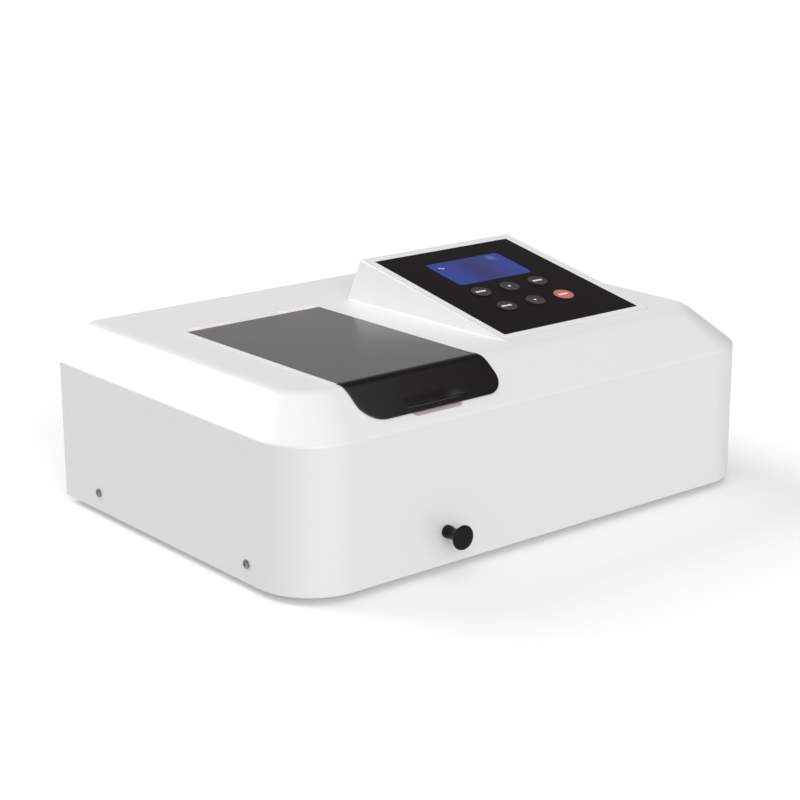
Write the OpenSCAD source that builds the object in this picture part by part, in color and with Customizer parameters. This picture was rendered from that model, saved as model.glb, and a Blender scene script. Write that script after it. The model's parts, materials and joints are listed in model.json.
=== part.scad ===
// Benchtop spectrophotometer with a pull-rod cell carriage.
// Millimetres. +X runs to the right along the front, +Y to the back and +Z up.
// The origin is the middle of the footprint, on the surface that the instrument stands on.
// Inside the modules, Y is counted from the front face of the case, which at_case() moves into place.

/* [Case] */
// Width of the case
case_w = 460; // [456:1:470]
// Depth of the case
case_d = 309; // [306:1:320]
// Height of the roof above the bottom edge of the case
roof_h = 137.2; // [136:0.2:146]
// Height of the vertical walls, up to the sloping band
wall_h = 109.2; // [106:0.2:112]
// How far the sloping band runs in from each side
side_run = 26.5; // [22:0.5:30]
// How far the sloping band runs in from the front
front_run = 37; // [34:0.5:38]
// Radius of the front corners in plan, at the foot of the band
corner_r = 47; // [42:1:52]
// Radius of the front corners in plan, at the roof
roof_corner_r = 32; // [26:1:36]
// Radius of the soft edge where the band meets the roof
crease_r = 14; // [8:1:16]
// Thickness of the moulded shell
shell = 3; // [2.6:0.1:3.4]
// Height of the rubber feet
foot_h = 5; // [4:0.5:8]

/* [Console] */
// Width of the sloping face
console_w = 160.7; // [158:0.1:164]
// Middle of the sloping face, from the middle of the case
console_x = 85.9; // [84:0.1:88]
// Length of the sloping face
console_len = 179; // [177:1:183]
// Distance of its lower edge from the front of the case
console_front = 54.2; // [52:0.1:58]
// Tilt of the sloping face
console_tilt = 10.8; // [9:0.1:12]
// Draft of the console's walls
console_draft = 12; // [8:1:14]
// Width of the black panel
panel_w = 143.7; // [142:0.1:145]
// Length of the black panel
panel_len = 160; // [158:0.5:161]
// Width of the display window
window_w = 79; // [74:0.5:82]
// Length of the display window up the slope
window_len = 47.4; // [44:0.2:50]
// Diameter of a key
key_d = 17.6; // [15:0.1:18.6]
// Distance between neighbouring keys
key_pitch = 30.6; // [28:0.1:32]
// Travel of a key
key_travel = 0.8; // [0.4:0.1:0.8]

/* [Lid] */
// Width of the lid
lid_w = 127.6; // [124:0.2:129]
// Middle of the lid, from the middle of the case
lid_x = -99.8; // [-101:0.1:-99]
// Back edge of the lid, from the front of the case
lid_back = 231; // [230:1:236]
// Thickness of the lid
lid_t = 1.5; // [1.4:0.1:1.8]
// Gap between the lid and the case
lid_gap = 0.2; // [0.2:0.1:0.4]
// Radius of the flap's lower corners
flap_corner_r = 18; // [12:1:22]

/* [Cell carriage] */
// Distance of the pull rod from the middle of the case
rod_x = -98.9; // [-100:0.1:-98]
// Height of the pull rod
rod_z = 30.9; // [30:0.1:32]
// Diameter of the pull rod
rod_d = 6; // [5:0.5:6]
// How far the knob stands out from the case
knob_len = 19.6; // [18:0.1:23]
// Diameter of the knob's disc
knob_d = 18.4; // [17:0.1:20]
// Distance from one cell to the next, which is one click of the rod
cell_pitch = 15; // [14.6:0.1:15.4]
// Inside width of a cell well
well_w = 12.6; // [12.4:0.1:12.8]

/* [Hidden] */
$fn = 64;
eps = 0.01;

// Levels of the case
skirt_z = foot_h;
wall_z = skirt_z + wall_h;
roof_z = skirt_z + roof_h;
rise = roof_h - wall_h;
side_angle = atan2(rise, side_run);
front_angle = atan2(rise, front_run);
front_y = -(case_d - knob_len) / 2;

// Sheet metal
base_t = 2;
base_top = skirt_z + base_t;
fit_gap = 0.4;
inner_x = case_w / 2 - shell - fit_gap;
flange_h = 26;
panel_t = 1.5;
rear_y = case_d - 5;
rear_in = rear_y - panel_t;

// Screws: radius of the shank, of its hole, and of the pan head
screw_r = 1.5;
hole_r = 1.6;
head_r = 3.3;
head_h = 2.2;
side_screws_y = [61, 258.4];
side_screws_z = skirt_z + 15;
foot_places = [[-190, 52], [190, 52], [-190, 272], [190, 272]];

// Console panel, in the sloping face's own frame: u across, v up the slope, w out of it
panel_u = console_x - 0.8;
panel_v = 9.6;
panel_t2 = 1.2;
bezel_margin = 2.6;
seam = 0.5;
window_u = panel_u + 2;
window_v = 101;
key_rows = [84, 52.9];
key_gap = 0.3;
key_proud = 0.8;
key_stem_w = -4;
switch_h = 3.1;
board_w = key_stem_w - key_travel - 0.1 - switch_h;
pcb_t = 1.6;

// Lid, and the hinge along its back edge
lid_under = roof_z + lid_gap;
flap_s = 11.2;
hinge_r = 1.7;
hinge_y = lid_back + 1.2;
hinge_z = roof_z + 0.8;
pin_r = 0.8;
pin_fit = 0.05;
knuckle = 12;
hinge_places = [-42, 42];

// Compartment tub, inside the roof's opening
tub_wall = 2.5;
tub_x = [-155, -50];
tub_y = [45, 222];
tub_floor = 12.5;
tub_top = roof_z - shell - 0.2;
tub_rim = 6;

// Light path
beam_z = 57;
beam_y = 118;
window_r = 8;

// Carriage
carriage_half = 38;
carriage_z = [19, 38];
guide_r = 3;
guide_fit = 0.05;
guide_z = 24;
guide_off = 29;
holder_half = 10;
well_floor = 42;
holder_top = 78;
cells = 4;
end_wall = 9.5;
carriage_y = [beam_y - end_wall, beam_y + (cells - 1) * cell_pitch + end_wall];
rod_r = rod_d / 2;
knob_gap = 0.3;
bush_r = 7;
bush_fit = 0.05;

// Monochromator housing
mono_x = [-38, 142];
mono_y = [50, 250];
mono_z = [14, 88];
mono_wall = 4;
mono_floor = mono_z[0] + mono_wall;
mono_lid_t = 2;
lamp_x = 100;
grating_at = [35, 190];
collimator_at = [100, 72];
focuser_at = [122, 118];
grating_aim = -50.4;
collimator_aim = 104.4;
focuser_aim = 160.2;
mirror_r = 15;
mirror_t = 5;
mirror_focus = 110;

// Toothed sector and pinion
gear_m = 1;
sector_teeth = 60;
pinion_teeth = 12;
sector_span = 100;
gear_t = 4;
gear_z = 41;
gear_gap = 36.15;
backlash = 0.12;
pressure = 20;

// Rear fittings, seen from behind
inlet_x = -178;
switch_x = -132;
fuse_x = -95;
fan_x = 100;
port_x = 10;
rear_fit_z = 42;
fan_z = 66;
fan_w = 50;
fan_t = 15;
fan_r = 22.4;
guard_t = 1.6;

// ---- helpers

// Moves a shape drawn from the front face of the case into the part's frame
module at_case() {
    translate([0, front_y, 0]) children();
}

// A frame on the front band: Y runs up the slope from its lower edge, Z out of it
module on_band(x, s, w) {
    translate([x, 0, wall_z]) rotate([front_angle, 0, 0]) translate([0, s, w]) children();
}

// A frame on the console's sloping face
module on_console(u, v, w) {
    translate([u, console_front, roof_z]) rotate([console_tilt, 0, 0]) translate([0, v, w])
        children();
}

// Rectangle with round corners, about its middle
module round_rect(w, d, r) {
    square([w - 2 * r, d], center = true);
    square([w, d - 2 * r], center = true);
    for (x = [-1, 1], y = [-1, 1])
        translate([x * (w / 2 - r), y * (d / 2 - r)]) circle(r);
}

module round_box(w, d, h, r) {
    linear_extrude(h) round_rect(w, d, r);
}

// Box between two values on each axis
module span_box(x, y, z) {
    translate([x[0], y[0], z[0]]) cube([x[1] - x[0], y[1] - y[0], z[1] - z[0]]);
}

// Cylinder along +X or +Y
module rod_along_x(r, h) {
    rotate([0, 90, 0]) cylinder(r = r, h = h);
}

module rod_along_y(r, h) {
    rotate([-90, 0, 0]) cylinder(r = r, h = h);
}

// Flat plate standing across the case, with its outer face at y
module upright(y, t) {
    translate([0, y, 0]) rotate([90, 0, 0]) linear_extrude(t) children();
}

// Pan-head screw with its head's seat at the origin, driven along -Z
module pan_screw(length, r = screw_r, head = head_r) {
    difference() {
        union() {
            translate([0, 0, -length]) cylinder(r = r, h = length + eps);
            intersection() {
                cylinder(r = head, h = head_h);
                translate([0, 0, head_h - head * 1.7]) sphere(head * 1.7);
            }
        }
        for (a = [0, 90])
            rotate([0, 0, a]) translate([-head * 0.6, -0.4, head_h - 1]) cube([head * 1.2, 0.8, 2]);
    }
}

// ---- case

// Inset of the roof's outline at a depth below the roof: a soft crease, then the plain slope
function run_at(depth, run, angle) =
    depth < crease_r * (1 - cos(angle))
    ? run + crease_r * tan(angle / 2) - sqrt(2 * crease_r * depth - depth * depth)
    : run - depth / tan(angle);

// Outline of the case in plan: round corners at the front, square ones at the back
module outline(half, front, r, back = case_d) {
    for (s = [-1, 1])
        translate([s * (half - r), front + r]) circle(r);
    translate([-half + r, front]) square([2 * (half - r), back - front]);
    translate([-half, front + r]) square([2 * half, back - front - r]);
}

module outer_form() {
    depths = [0, 0.3, 1.2, crease_r * (1 - cos(front_angle)), crease_r * (1 - cos(side_angle))];
    hull() {
        translate([0, 0, skirt_z]) linear_extrude(wall_z - skirt_z) outline(case_w / 2, 0, corner_r);
        for (d = depths) {
            r = roof_corner_r + (corner_r - roof_corner_r) * d / rise;
            side = run_at(d, side_run, side_angle);
            front = run_at(d, front_run, front_angle);
            translate([0, 0, roof_z - d - eps])
                linear_extrude(eps) outline(case_w / 2 - side, front, r);
        }
    }
}

// How far a wall's top drops, and the roof's edge moves in, to keep the shell's thickness
function top_drop(run) = shell * (norm([run, rise]) - rise) / run;
function edge_shift(run) = shell * (norm([run, rise]) - run) / rise;

module inner_form() {
    half = case_w / 2 - shell;
    side = side_run + edge_shift(side_run);
    front = front_run + edge_shift(front_run);
    top = wall_z - max(top_drop(side_run), top_drop(front_run));
    hull() {
        translate([0, 0, skirt_z - 1]) linear_extrude(top - skirt_z + 1)
            outline(half, shell, corner_r - shell, case_d + shell);
        translate([0, 0, roof_z - shell - eps]) linear_extrude(eps)
            outline(case_w / 2 - side, front, roof_corner_r, case_d + shell);
    }
}

// Wedge under the console's sloping face, moved in at the sides and down by the given amounts
module wedge(inset, drop) {
    high = console_len * sin(console_tilt);
    deep = console_len * cos(console_tilt);
    out = high * tan(console_draft);
    half = console_w / 2 - inset;
    foot = half + out * (deep + out) / deep;
    z = roof_z - drop;
    y = console_front;
    points = [
        [console_x - half, y, z - eps], [console_x + half, y, z - eps],
        [console_x + half, y + deep - inset, z + high], [console_x - half, y + deep - inset, z + high],
        [console_x - foot, y + deep + out - inset, z - eps], [console_x + foot, y + deep + out - inset, z - eps]
    ];
    polyhedron(points, [[0, 3, 2, 1], [0, 4, 3], [1, 2, 5], [2, 3, 4, 5], [0, 1, 5, 4]]);
}

// Case and console, moulded in one piece and open below and behind
module top_cover() color("white") at_case() {
    chamber_w = tub_x[1] - tub_x[0];
    chamber_l = tub_y[1] - tub_y[0];
    difference() {
        union() {
            outer_form();
            wedge(0, 0);
        }
        inner_form();
        wedge(shell, shell);
        // Opening over the compartment
        translate([(tub_x[0] + tub_x[1]) / 2, (tub_y[0] + tub_y[1]) / 2, roof_z - 2 * shell])
            round_box(chamber_w, chamber_l, 4 * shell, 3);
        // Finger recess under the flap
        on_band(rod_x - 0.8, 12.5, -1.8) round_box(45, 14, 10, 3);
        // Pull rod
        translate([rod_x, -1, rod_z]) rod_along_y(rod_r + 0.6, shell + 2);
        // Side screws
        for (y = side_screws_y)
            translate([-case_w, y, side_screws_z]) rod_along_x(hole_r, 2 * case_w);
        // Seat of the bezel, and the opening behind the panel
        on_console(console_x, console_len / 2, -panel_t2)
            round_box(console_w - 2 * bezel_margin, console_len - 2 * bezel_margin, 10, 3);
        on_console(panel_u, panel_v + panel_len / 2, -10)
            round_box(panel_w - 14, panel_len - 14, 20, 3);
        // Groove and slots for the lid's hinge
        for (x = hinge_places) {
            translate([lid_x + x - 1.6 * knuckle, hinge_y, hinge_z])
                rod_along_x(hinge_r + 0.45, 3.2 * knuckle);
            translate([lid_x + x - knuckle / 2 - 0.2, hinge_y - 1.2, roof_z - 2 * shell])
                cube([knuckle + 0.4, 2.4, 2 * shell]);
        }
    }
}

module base_plate() color("gainsboro") at_case() {
    side_len = case_d - corner_r - 22;
    difference() {
        union() {
            translate([0, 0, skirt_z]) linear_extrude(base_t) intersection() {
                outline(inner_x, shell + fit_gap, corner_r - shell - fit_gap);
                translate([-case_w, 0]) square([2 * case_w, rear_in - 0.3]);
            }
            for (s = [-1, 1])
                translate([s * (inner_x - base_t / 2) - base_t / 2, corner_r + 6, skirt_z])
                    cube([base_t, side_len, flange_h]);
            span_box([-inner_x + 6, inner_x - 6], [rear_in - base_t - 0.3, rear_in - 0.3], [skirt_z, 24]);
        }
        for (y = side_screws_y)
            translate([-case_w, y, side_screws_z]) rod_along_x(hole_r, 2 * case_w);
        for (p = foot_places)
            translate([p[0], p[1], 0]) cylinder(r = hole_r, h = 20);
        for (x = [-210, -70, 70, 210])
            translate([x, rear_in - 10, 16]) rod_along_y(hole_r, 20);
        // Cooling slots under the lamp
        for (i = [0:6])
            translate([lamp_x - 24 + 8 * i, 272, 0]) round_box(3.4, 36, 20, 1.6);
    }
}

module rubber_feet() color("#222222") at_case() {
    for (p = foot_places)
        translate([p[0], p[1], 0]) difference() {
            rotate_extrude() polygon([
                [0, 0], [10.2, 0], [11, 0.8], [10.2, foot_h], [0, foot_h]
            ]);
            translate([0, 0, -eps]) cylinder(r = 4.5, h = 2.6 + eps);
            cylinder(r = hole_r, h = 2 * foot_h);
        }
}

module foot_screws() color("silver") at_case() {
    for (p = foot_places)
        translate([p[0], p[1], 2.6]) rotate([180, 0, 0]) pan_screw(foot_h + base_t);
}

module cover_screws() color("silver") at_case() {
    for (s = [-1, 1], y = side_screws_y)
        translate([s * case_w / 2, y, side_screws_z]) rotate([0, s * 90, 0]) pan_screw(9);
}

// ---- rear panel and its fittings

module rear_outline() {
    half = inner_x;
    top = roof_z - shell - 0.3;
    knee = wall_z - top_drop(side_run) - 0.3;
    roof_half = case_w / 2 - side_run - edge_shift(side_run) - 0.3;
    polygon([
        [-half, skirt_z], [half, skirt_z], [half, knee], [roof_half, top],
        [-roof_half, top], [-half, knee]
    ]);
}

module rear_panel() color("gainsboro") at_case() difference() {
    upright(rear_y, panel_t) difference() {
        rear_outline();
        translate([inlet_x, rear_fit_z]) square([28, 20], center = true);
        translate([switch_x, rear_fit_z]) square([27, 19.4], center = true);
        translate([fuse_x, rear_fit_z]) circle(6.4);
        translate([port_x, rear_fit_z]) square([12.6, 11.4], center = true);
        translate([fan_x, fan_z]) circle(fan_r);
        for (i = [0:9])
            translate([-40 + 9 * i, 104]) round_rect(4, 30, 1.9);
    }
    for (x = [-210, -70, 70, 210])
        translate([x, rear_in - 10, 16]) rod_along_y(hole_r, 20);
    for (x = [-1, 1], z = [-1, 1])
        translate([fan_x + x * 20, rear_in - 10, fan_z + z * 20]) rod_along_y(hole_r, 20);
}

module rear_screws() color("silver") at_case() {
    for (x = [-210, -70, 70, 210])
        translate([x, rear_y, 16]) rotate([-90, 0, 0]) pan_screw(8);
    for (x = [-1, 1], z = [-1, 1])
        translate([fan_x + x * 20, rear_y + guard_t, fan_z + z * 20]) rotate([-90, 0, 0]) pan_screw(14);
}

// Appliance inlet, a socket with two bevelled corners
module inlet_cavity(w, h) {
    polygon([
        [-w / 2, -h / 2], [w / 2, -h / 2], [w / 2, h / 2 - 4.5], [w / 2 - 4.5, h / 2],
        [-w / 2 + 4.5, h / 2], [-w / 2, h / 2 - 4.5]
    ]);
}

inlet_pin_places = [[-7, -2], [7, -2], [0, 2]];

module inlet_pin_shapes(grow) {
    for (p = inlet_pin_places)
        translate([inlet_x + p[0], rear_y - 24, rear_fit_z + p[1]])
            translate([-1 - grow, 0, -2 - grow]) cube([2 + 2 * grow, 22, 4 + 2 * grow]);
}

module mains_inlet() color("#1c1c1c") at_case() difference() {
    union() {
        translate([inlet_x, 0, rear_fit_z]) upright(rear_y + 2, 2) difference() {
            round_rect(48, 25, 4);
            for (s = [-1, 1])
                translate([20 * s, 0]) circle(hole_r);
        }
        translate([inlet_x, 0, rear_fit_z]) upright(rear_y + eps, 22) square([27.4, 19.4], center = true);
    }
    translate([inlet_x, 0, rear_fit_z]) upright(rear_y + 3, 19) inlet_cavity(24, 16.6);
    inlet_pin_shapes(0.03);
}

module inlet_pins() color("silver") at_case() inlet_pin_shapes(0);

// Screw-cap fuse holder with its cap and a driver slot
module fuse_holder() color("#1c1c1c") at_case() translate([fuse_x, rear_y, rear_fit_z]) difference() {
    union() {
        rotate([-90, 0, 0]) cylinder(r = 8, h = 1.6);
        rotate([-90, 0, 0]) cylinder(r = 5.6, h = 4.6);
        translate([0, -26, 0]) rod_along_y(6.2, 26 + eps);
    }
    translate([-4, 3.4, -0.6]) cube([8, 4, 1.2]);
}

rocker_y = rear_y - 0.5;
rocker_tilt = 10;

module power_switch() color("#1c1c1c") at_case() difference() {
    union() {
        translate([switch_x, 0, rear_fit_z]) upright(rear_y + 2, 2) round_rect(31, 23.4, 2);
        translate([switch_x, 0, rear_fit_z]) upright(rear_y + eps, 22) square([26.6, 19], center = true);
    }
    translate([switch_x, 0, rear_fit_z]) upright(rear_y + 3, 12) square([22, 15.2], center = true);
    translate([switch_x - 12, rocker_y, rear_fit_z]) rod_along_x(1.5 + 0.05, 24);
}

// Drawn in its off position, with its upper half pressed in
module power_rocker() color("#2a2a2a") at_case()
    translate([switch_x, rocker_y, rear_fit_z]) rotate([rocker_tilt, 0, 0]) {
        rotate([90, 0, 90]) linear_extrude(21.4, center = true) polygon([
            [3, -6.8], [2.2, 0], [3, 6.8], [-1, 6.8], [-5, 3], [-5, -3], [-1, -6.8]
        ]);
        translate([-11.7, 0, 0]) rod_along_x(1.5, 23.4);
    }

// Fan housing with its stator hub on three struts
module fan_frame() color("#1c1c1c") at_case() translate([fan_x, 0, fan_z]) difference() {
    union() {
        upright(rear_in, fan_t) difference() {
            round_rect(fan_w, fan_w, 4);
            circle(fan_r);
        }
        upright(rear_in - fan_t + 2.4, 2.4) {
            circle(10);
            for (a = [90, 210, 330])
                rotate([0, 0, a]) translate([0, -1.5]) square([fan_r + 1, 3]);
        }
    }
    for (x = [-1, 1], z = [-1, 1])
        translate([20 * x, rear_in - 20, 20 * z]) rod_along_y(hole_r, 40);
    translate([0, rear_in - 20, 0]) rod_along_y(1.55, 40);
}

// Finger guard on the outside of the rear panel: rings on four spokes, with an eyelet at each screw
module fan_guard() color("silver") at_case() translate([fan_x, 0, fan_z])
    upright(rear_y + guard_t, guard_t) difference() {
        union() {
            for (r = [6, 12, 18, 24])
                difference() {
                    circle(r + guard_t / 2);
                    circle(r - guard_t / 2);
                }
            for (a = [45, 135, 225, 315])
                rotate([0, 0, a]) {
                    translate([6, -guard_t / 2]) square([20, guard_t]);
                    translate([20 * sqrt(2), 0]) circle(3.2);
                }
        }
        for (x = [-1, 1], z = [-1, 1])
            translate([20 * x, 20 * z]) circle(hole_r);
    }

module fan_rotor() color("#2a2a2a") at_case() translate([fan_x, rear_in, fan_z]) rotate([90, 0, 0]) {
    translate([0, 0, 1]) cylinder(r = 9.5, h = 10.5);
    cylinder(r = 1.5, h = fan_t - 0.2);
    for (i = [0:6])
        rotate([0, 0, i * 360 / 7]) intersection() {
            translate([0, 0, 2]) cylinder(r = fan_r - 0.9, h = 9);
            translate([15, 0, 6.2]) rotate([38, 0, 0]) cube([13.5, 11, 1.1], center = true);
        }
}

module data_port() color("silver") at_case() translate([port_x, 0, rear_fit_z]) difference() {
    upright(rear_y + 1.4, 15) round_rect(12, 10.8, 0.8);
    upright(rear_y + 3, 12) difference() {
        square([8.8, 9.4], center = true);
        translate([0, 3.6]) square([20, 1.2], center = true);
    }
}

// ---- console

module panel_bezel() color("white") at_case() difference() {
    inner_u = panel_u - console_x;
    on_console(console_x, console_len / 2, -panel_t2) difference() {
        round_box(
            console_w - 2 * bezel_margin - 2 * seam, console_len - 2 * bezel_margin - 2 * seam,
            panel_t2 + 0.3, 2.6
        );
        translate([inner_u, panel_v + panel_len / 2 - console_len / 2, -1])
            round_box(panel_w + 0.1, panel_len + 0.1, 10, 1.2);
    }
}

function key_u(i) = panel_u + (i % 3 - 1) * key_pitch;
function key_v(i) = key_rows[floor(i / 3)];

module key_panel() color("#242021") at_case() difference() {
    on_console(panel_u, panel_v + panel_len / 2, -panel_t2) round_box(panel_w, panel_len, panel_t2, 1.2);
    on_console(window_u, window_v + window_len / 2, -5)
        round_box(window_w + 0.2, window_len + 0.2, 10, 3.1);
    for (i = [0:5])
        on_console(key_u(i), key_v(i), -5) cylinder(r = key_d / 2 + key_gap, h = 10);
}

module display_window() color("#26388a") at_case()
    on_console(window_u, window_v + window_len / 2, -panel_t2)
        round_box(window_w, window_len, panel_t2 - 0.2, 3);

module display_module() color("#2f6b3a") at_case() on_console(window_u, window_v + window_len / 2, 0) {
    translate([0, 0, -9]) round_box(window_w + 8, window_len + 8, 9 - panel_t2 - 0.2, 1);
    translate([0, 0, -9 - pcb_t]) difference() {
        round_box(window_w + 20, window_len + 10, pcb_t, 1);
        for (x = [-1, 1], y = [-1, 1])
            translate([x * (window_w / 2 + 7), y * (window_len / 2 + 2), -1]) cylinder(r = 1.4, h = 5);
    }
}

// Round key: dished cap, retaining flange and stem
module key(i) on_console(key_u(i), key_v(i), 0) {
    rotate_extrude() polygon([
        [0, key_stem_w], [2.4, key_stem_w], [2.4, -2.8], [key_d / 2 + 1, -2.8], [key_d / 2 + 1, -1.7],
        [key_d / 2, -1.7], [key_d / 2, key_proud - 0.4], [key_d / 2 - 0.4, key_proud],
        [key_d / 2 - 1.4, key_proud], [key_d / 2 - 2.4, key_proud - 0.25], [0, key_proud - 0.25]
    ]);
}

module mode_key() color("#4b4846") at_case() key(0);
module up_key() color("#4b4846") at_case() key(1);
module zero_key() color("#4b4846") at_case() key(2);
module print_key() color("#4b4846") at_case() key(3);
module down_key() color("#4b4846") at_case() key(4);
module enter_key() color("#c87773") at_case() key(5);

// Circuit board with one push switch under each key
module key_board() color("#2f6b3a") at_case() {
    on_console(panel_u, (key_rows[0] + key_rows[1]) / 2, board_w - pcb_t)
        round_box(3 * key_pitch + 14, 54, pcb_t, 1);
    for (i = [0:5])
        on_console(key_u(i), key_v(i), board_w - eps) {
            translate([-3, -3, 0]) cube([6, 6, 2.4]);
            cylinder(r = 1.7, h = switch_h);
        }
}

board_x = [-20, 120];
board_y = [84, 236];
board_z = mono_z[1] + mono_lid_t + 8;
board_holes = [for (x = [0, 1], y = [0, 1]) [
    x == 0 ? board_x[0] + 6 : board_x[1] - 6, y == 0 ? board_y[0] + 6 : board_y[1] - 6
]];
ribbon_y = 178;

module control_board() color("#2f6b3a") at_case() {
    difference() {
        span_box(board_x, board_y, [board_z, board_z + pcb_t]);
        for (p = board_holes)
            translate([p[0], p[1], 0]) cylinder(r = 1.6, h = 200);
    }
    top = board_z + pcb_t - eps;
    // Processor, memory, converter and driver chips
    for (c = [[40, 130, 20, 20], [72, 134, 10, 16], [20, 160, 14, 10], [88, 200, 12, 16], [12, 110, 10, 14]])
        translate([c[0], c[1], top]) translate([-c[2] / 2, -c[3] / 2, 0]) cube([c[2], c[3], 2.4]);
    // Capacitors
    for (i = [0:3])
        translate([4 + 14 * i, 222, top]) cylinder(r = 4, h = 12);
    // Connectors along the front and back edges
    for (i = [0:3])
        translate([0 + 30 * i, board_y[0] + 8, top]) translate([-10, -3, 0]) cube([20, 6, 9]);
}

module board_standoffs() color("goldenrod") at_case() {
    for (p = board_holes)
        translate([p[0], p[1], board_z - 8]) {
            cylinder(r = 3, h = 8, $fn = 6);
            cylinder(r = 1.5, h = 8 + pcb_t + 1);
        }
}

// Flat cable from the display down to the control board, with a connector at its lower end
module ribbon_cable() color("#9a9da0") at_case() {
    v = (ribbon_y - console_front) / cos(console_tilt);
    upper = roof_z + v * sin(console_tilt) - 11;
    lower = board_z + pcb_t;
    span_box([window_u - 17, window_u + 17], [ribbon_y - 0.5, ribbon_y + 0.5], [lower + 6, upper]);
    span_box([window_u - 20, window_u + 20], [ribbon_y - 3, ribbon_y + 3], [lower, lower + 6 + eps]);
}

// ---- lid

// Side view of the lid: a plate on the roof that bends over the crease and down the band
module lid_profile(low, high) {
    cy = front_run + crease_r * tan(front_angle / 2);
    cz = roof_z - crease_r;
    steps = 6;
    function arc(r) = [for (i = [0:steps]) let (a = 90 + front_angle * i / steps)
        [cy + r * cos(a), cz + r * sin(a)]];
    function on_slope(s, w) = [
        s * cos(front_angle) - w * sin(front_angle),
        wall_z + s * sin(front_angle) + w * cos(front_angle)
    ];
    back = arc(crease_r + low);
    polygon(concat(
        [[lid_back, roof_z + low], [lid_back, roof_z + high]],
        arc(crease_r + high),
        [on_slope(flap_s, high), on_slope(flap_s, low)],
        [for (i = [steps:-1:0]) back[i]]
    ));
}

module sample_lid() color("#3a3a3c") at_case() difference() {
    rim_x = [tub_x[0] + 1.2, tub_x[1] - 1.2];
    rim_y = [tub_y[0] + 1.6, tub_y[1] - 3];
    union() {
        intersection() {
            translate([lid_x - lid_w / 2, 0, 0]) rotate([90, 0, 90]) linear_extrude(lid_w)
                lid_profile(lid_gap, lid_gap + lid_t);
            union() {
                // Round lower corners of the flap, cut square to the band
                on_band(lid_x, flap_s + 30, -20) round_box(lid_w, 60, 60, flap_corner_r);
                translate([lid_x - lid_w / 2, front_run - 4, 0]) cube([lid_w, case_d, 2 * roof_z]);
            }
        }
        // Light trap inside the opening
        difference() {
            span_box(rim_x, rim_y, [lid_under - 5, lid_under + eps]);
            span_box([rim_x[0] + 2, rim_x[1] - 2], [rim_y[0] + 2, rim_y[1] - 2], [0, lid_under - eps]);
        }
        // Hinge knuckles on both sides of each bracket
        for (x = hinge_places, s = [-1, 1])
            translate([lid_x + x + s * (knuckle + 0.3) - knuckle / 2, hinge_y, hinge_z]) {
                rod_along_x(hinge_r, knuckle);
                translate([0, -2, -0.5]) cube([knuckle, 2, 1.3]);
            }
    }
    for (x = hinge_places) {
        translate([lid_x + x - 2 * knuckle, hinge_y, hinge_z])
            rod_along_x(pin_r + pin_fit, 4 * knuckle);
        // Room for the fixed knuckle
        translate([lid_x + x - knuckle / 2 - 0.3, hinge_y, hinge_z])
            rod_along_x(hinge_r + 0.4, knuckle + 0.6);
    }
    // Shallow finger grip at the flap's lower edge
    on_band(rod_x + 2, flap_s + 9, lid_gap + lid_t - 0.6) round_box(56, 10, 5, 2);
}

module lid_hinge_pins() color("silver") at_case()
    for (x = hinge_places)
        translate([lid_x + x - 1.5 * knuckle - 0.3, hinge_y, hinge_z]) rod_along_x(pin_r, 3 * knuckle + 0.6);

// Fixed knuckles, each on a stem through the roof with a foot plate below it
module lid_hinge_brackets() color("silver") at_case() {
    for (x = hinge_places)
        translate([lid_x + x - knuckle / 2, hinge_y, hinge_z]) difference() {
            union() {
                rod_along_x(hinge_r, knuckle);
                translate([0, -1, -hinge_z + roof_z - shell - 0.1]) cube([knuckle, 2, shell + 0.6]);
                translate([-3, -1, -hinge_z + roof_z - shell - 2]) cube([knuckle + 6, 12, 1.9]);
            }
            translate([-1, 0, 0]) rod_along_x(pin_r, knuckle + 2);
        }
}

// ---- sample compartment

// Tub with a flat rim under the roof, a beam hole in each side and the rod's hole in front
module sample_chamber() color("#2b2b2d") at_case() difference() {
    out_x = [tub_x[0] - tub_wall, tub_x[1] + tub_wall];
    out_y = [tub_y[0] - tub_wall, tub_y[1] + tub_wall];
    union() {
        span_box(out_x, out_y, [tub_floor - tub_wall, tub_top]);
        span_box([out_x[0] - tub_rim, out_x[1] + tub_rim], [out_y[0], out_y[1]], [tub_top - 2, tub_top]);
        for (x = [out_x[0] + 8, out_x[1] - 8], y = [out_y[0] + 12, out_y[1] - 12])
            translate([x, y, base_top]) cylinder(r = 5, h = 6);
    }
    span_box(tub_x, tub_y, [tub_floor, roof_z]);
    translate([out_x[0] - 20, beam_y, beam_z]) rod_along_x(window_r, 200);
    translate([rod_x, tub_y[0] - 20, rod_z]) rod_along_y(bush_r, 30);
    for (s = [-1, 1])
        translate([rod_x + s * guide_off, tub_y[0] - 20, guide_z]) rod_along_y(guide_r, 220);
}

module beam_windows() color("#cfe3ea") at_case() {
    for (x = [tub_x[0] - tub_wall, tub_x[1]])
        translate([x + 0.2, beam_y, beam_z]) rod_along_x(window_r - 0.05, tub_wall - 0.4);
}

module guide_rods() color("silver") at_case() {
    for (s = [-1, 1])
        translate([rod_x + s * guide_off, tub_y[0] - tub_wall, guide_z])
            rod_along_y(guide_r, tub_y[1] - tub_y[0] + 2 * tub_wall);
}

// Sliding base on two rods, and a holder with a row of square wells and their beam holes
module cell_carriage() color("#4a4c50") at_case() difference() {
    union() {
        span_box([rod_x - carriage_half, rod_x + carriage_half], carriage_y, carriage_z);
        span_box([rod_x - holder_half, rod_x + holder_half], carriage_y, [carriage_z[1] - eps, holder_top]);
    }
    for (s = [-1, 1])
        translate([rod_x + s * guide_off, 0, guide_z]) rod_along_y(guide_r + guide_fit, case_d);
    for (i = [0:cells - 1])
        translate([rod_x, beam_y + i * cell_pitch, 0]) {
            translate([-well_w / 2, -well_w / 2, well_floor]) cube([well_w, well_w, 100]);
            translate([-50, 0, beam_z]) rod_along_x(3.5, 100);
        }
    translate([rod_x, carriage_y[0] - eps, rod_z]) rod_along_y(rod_r, 12);
}

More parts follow.
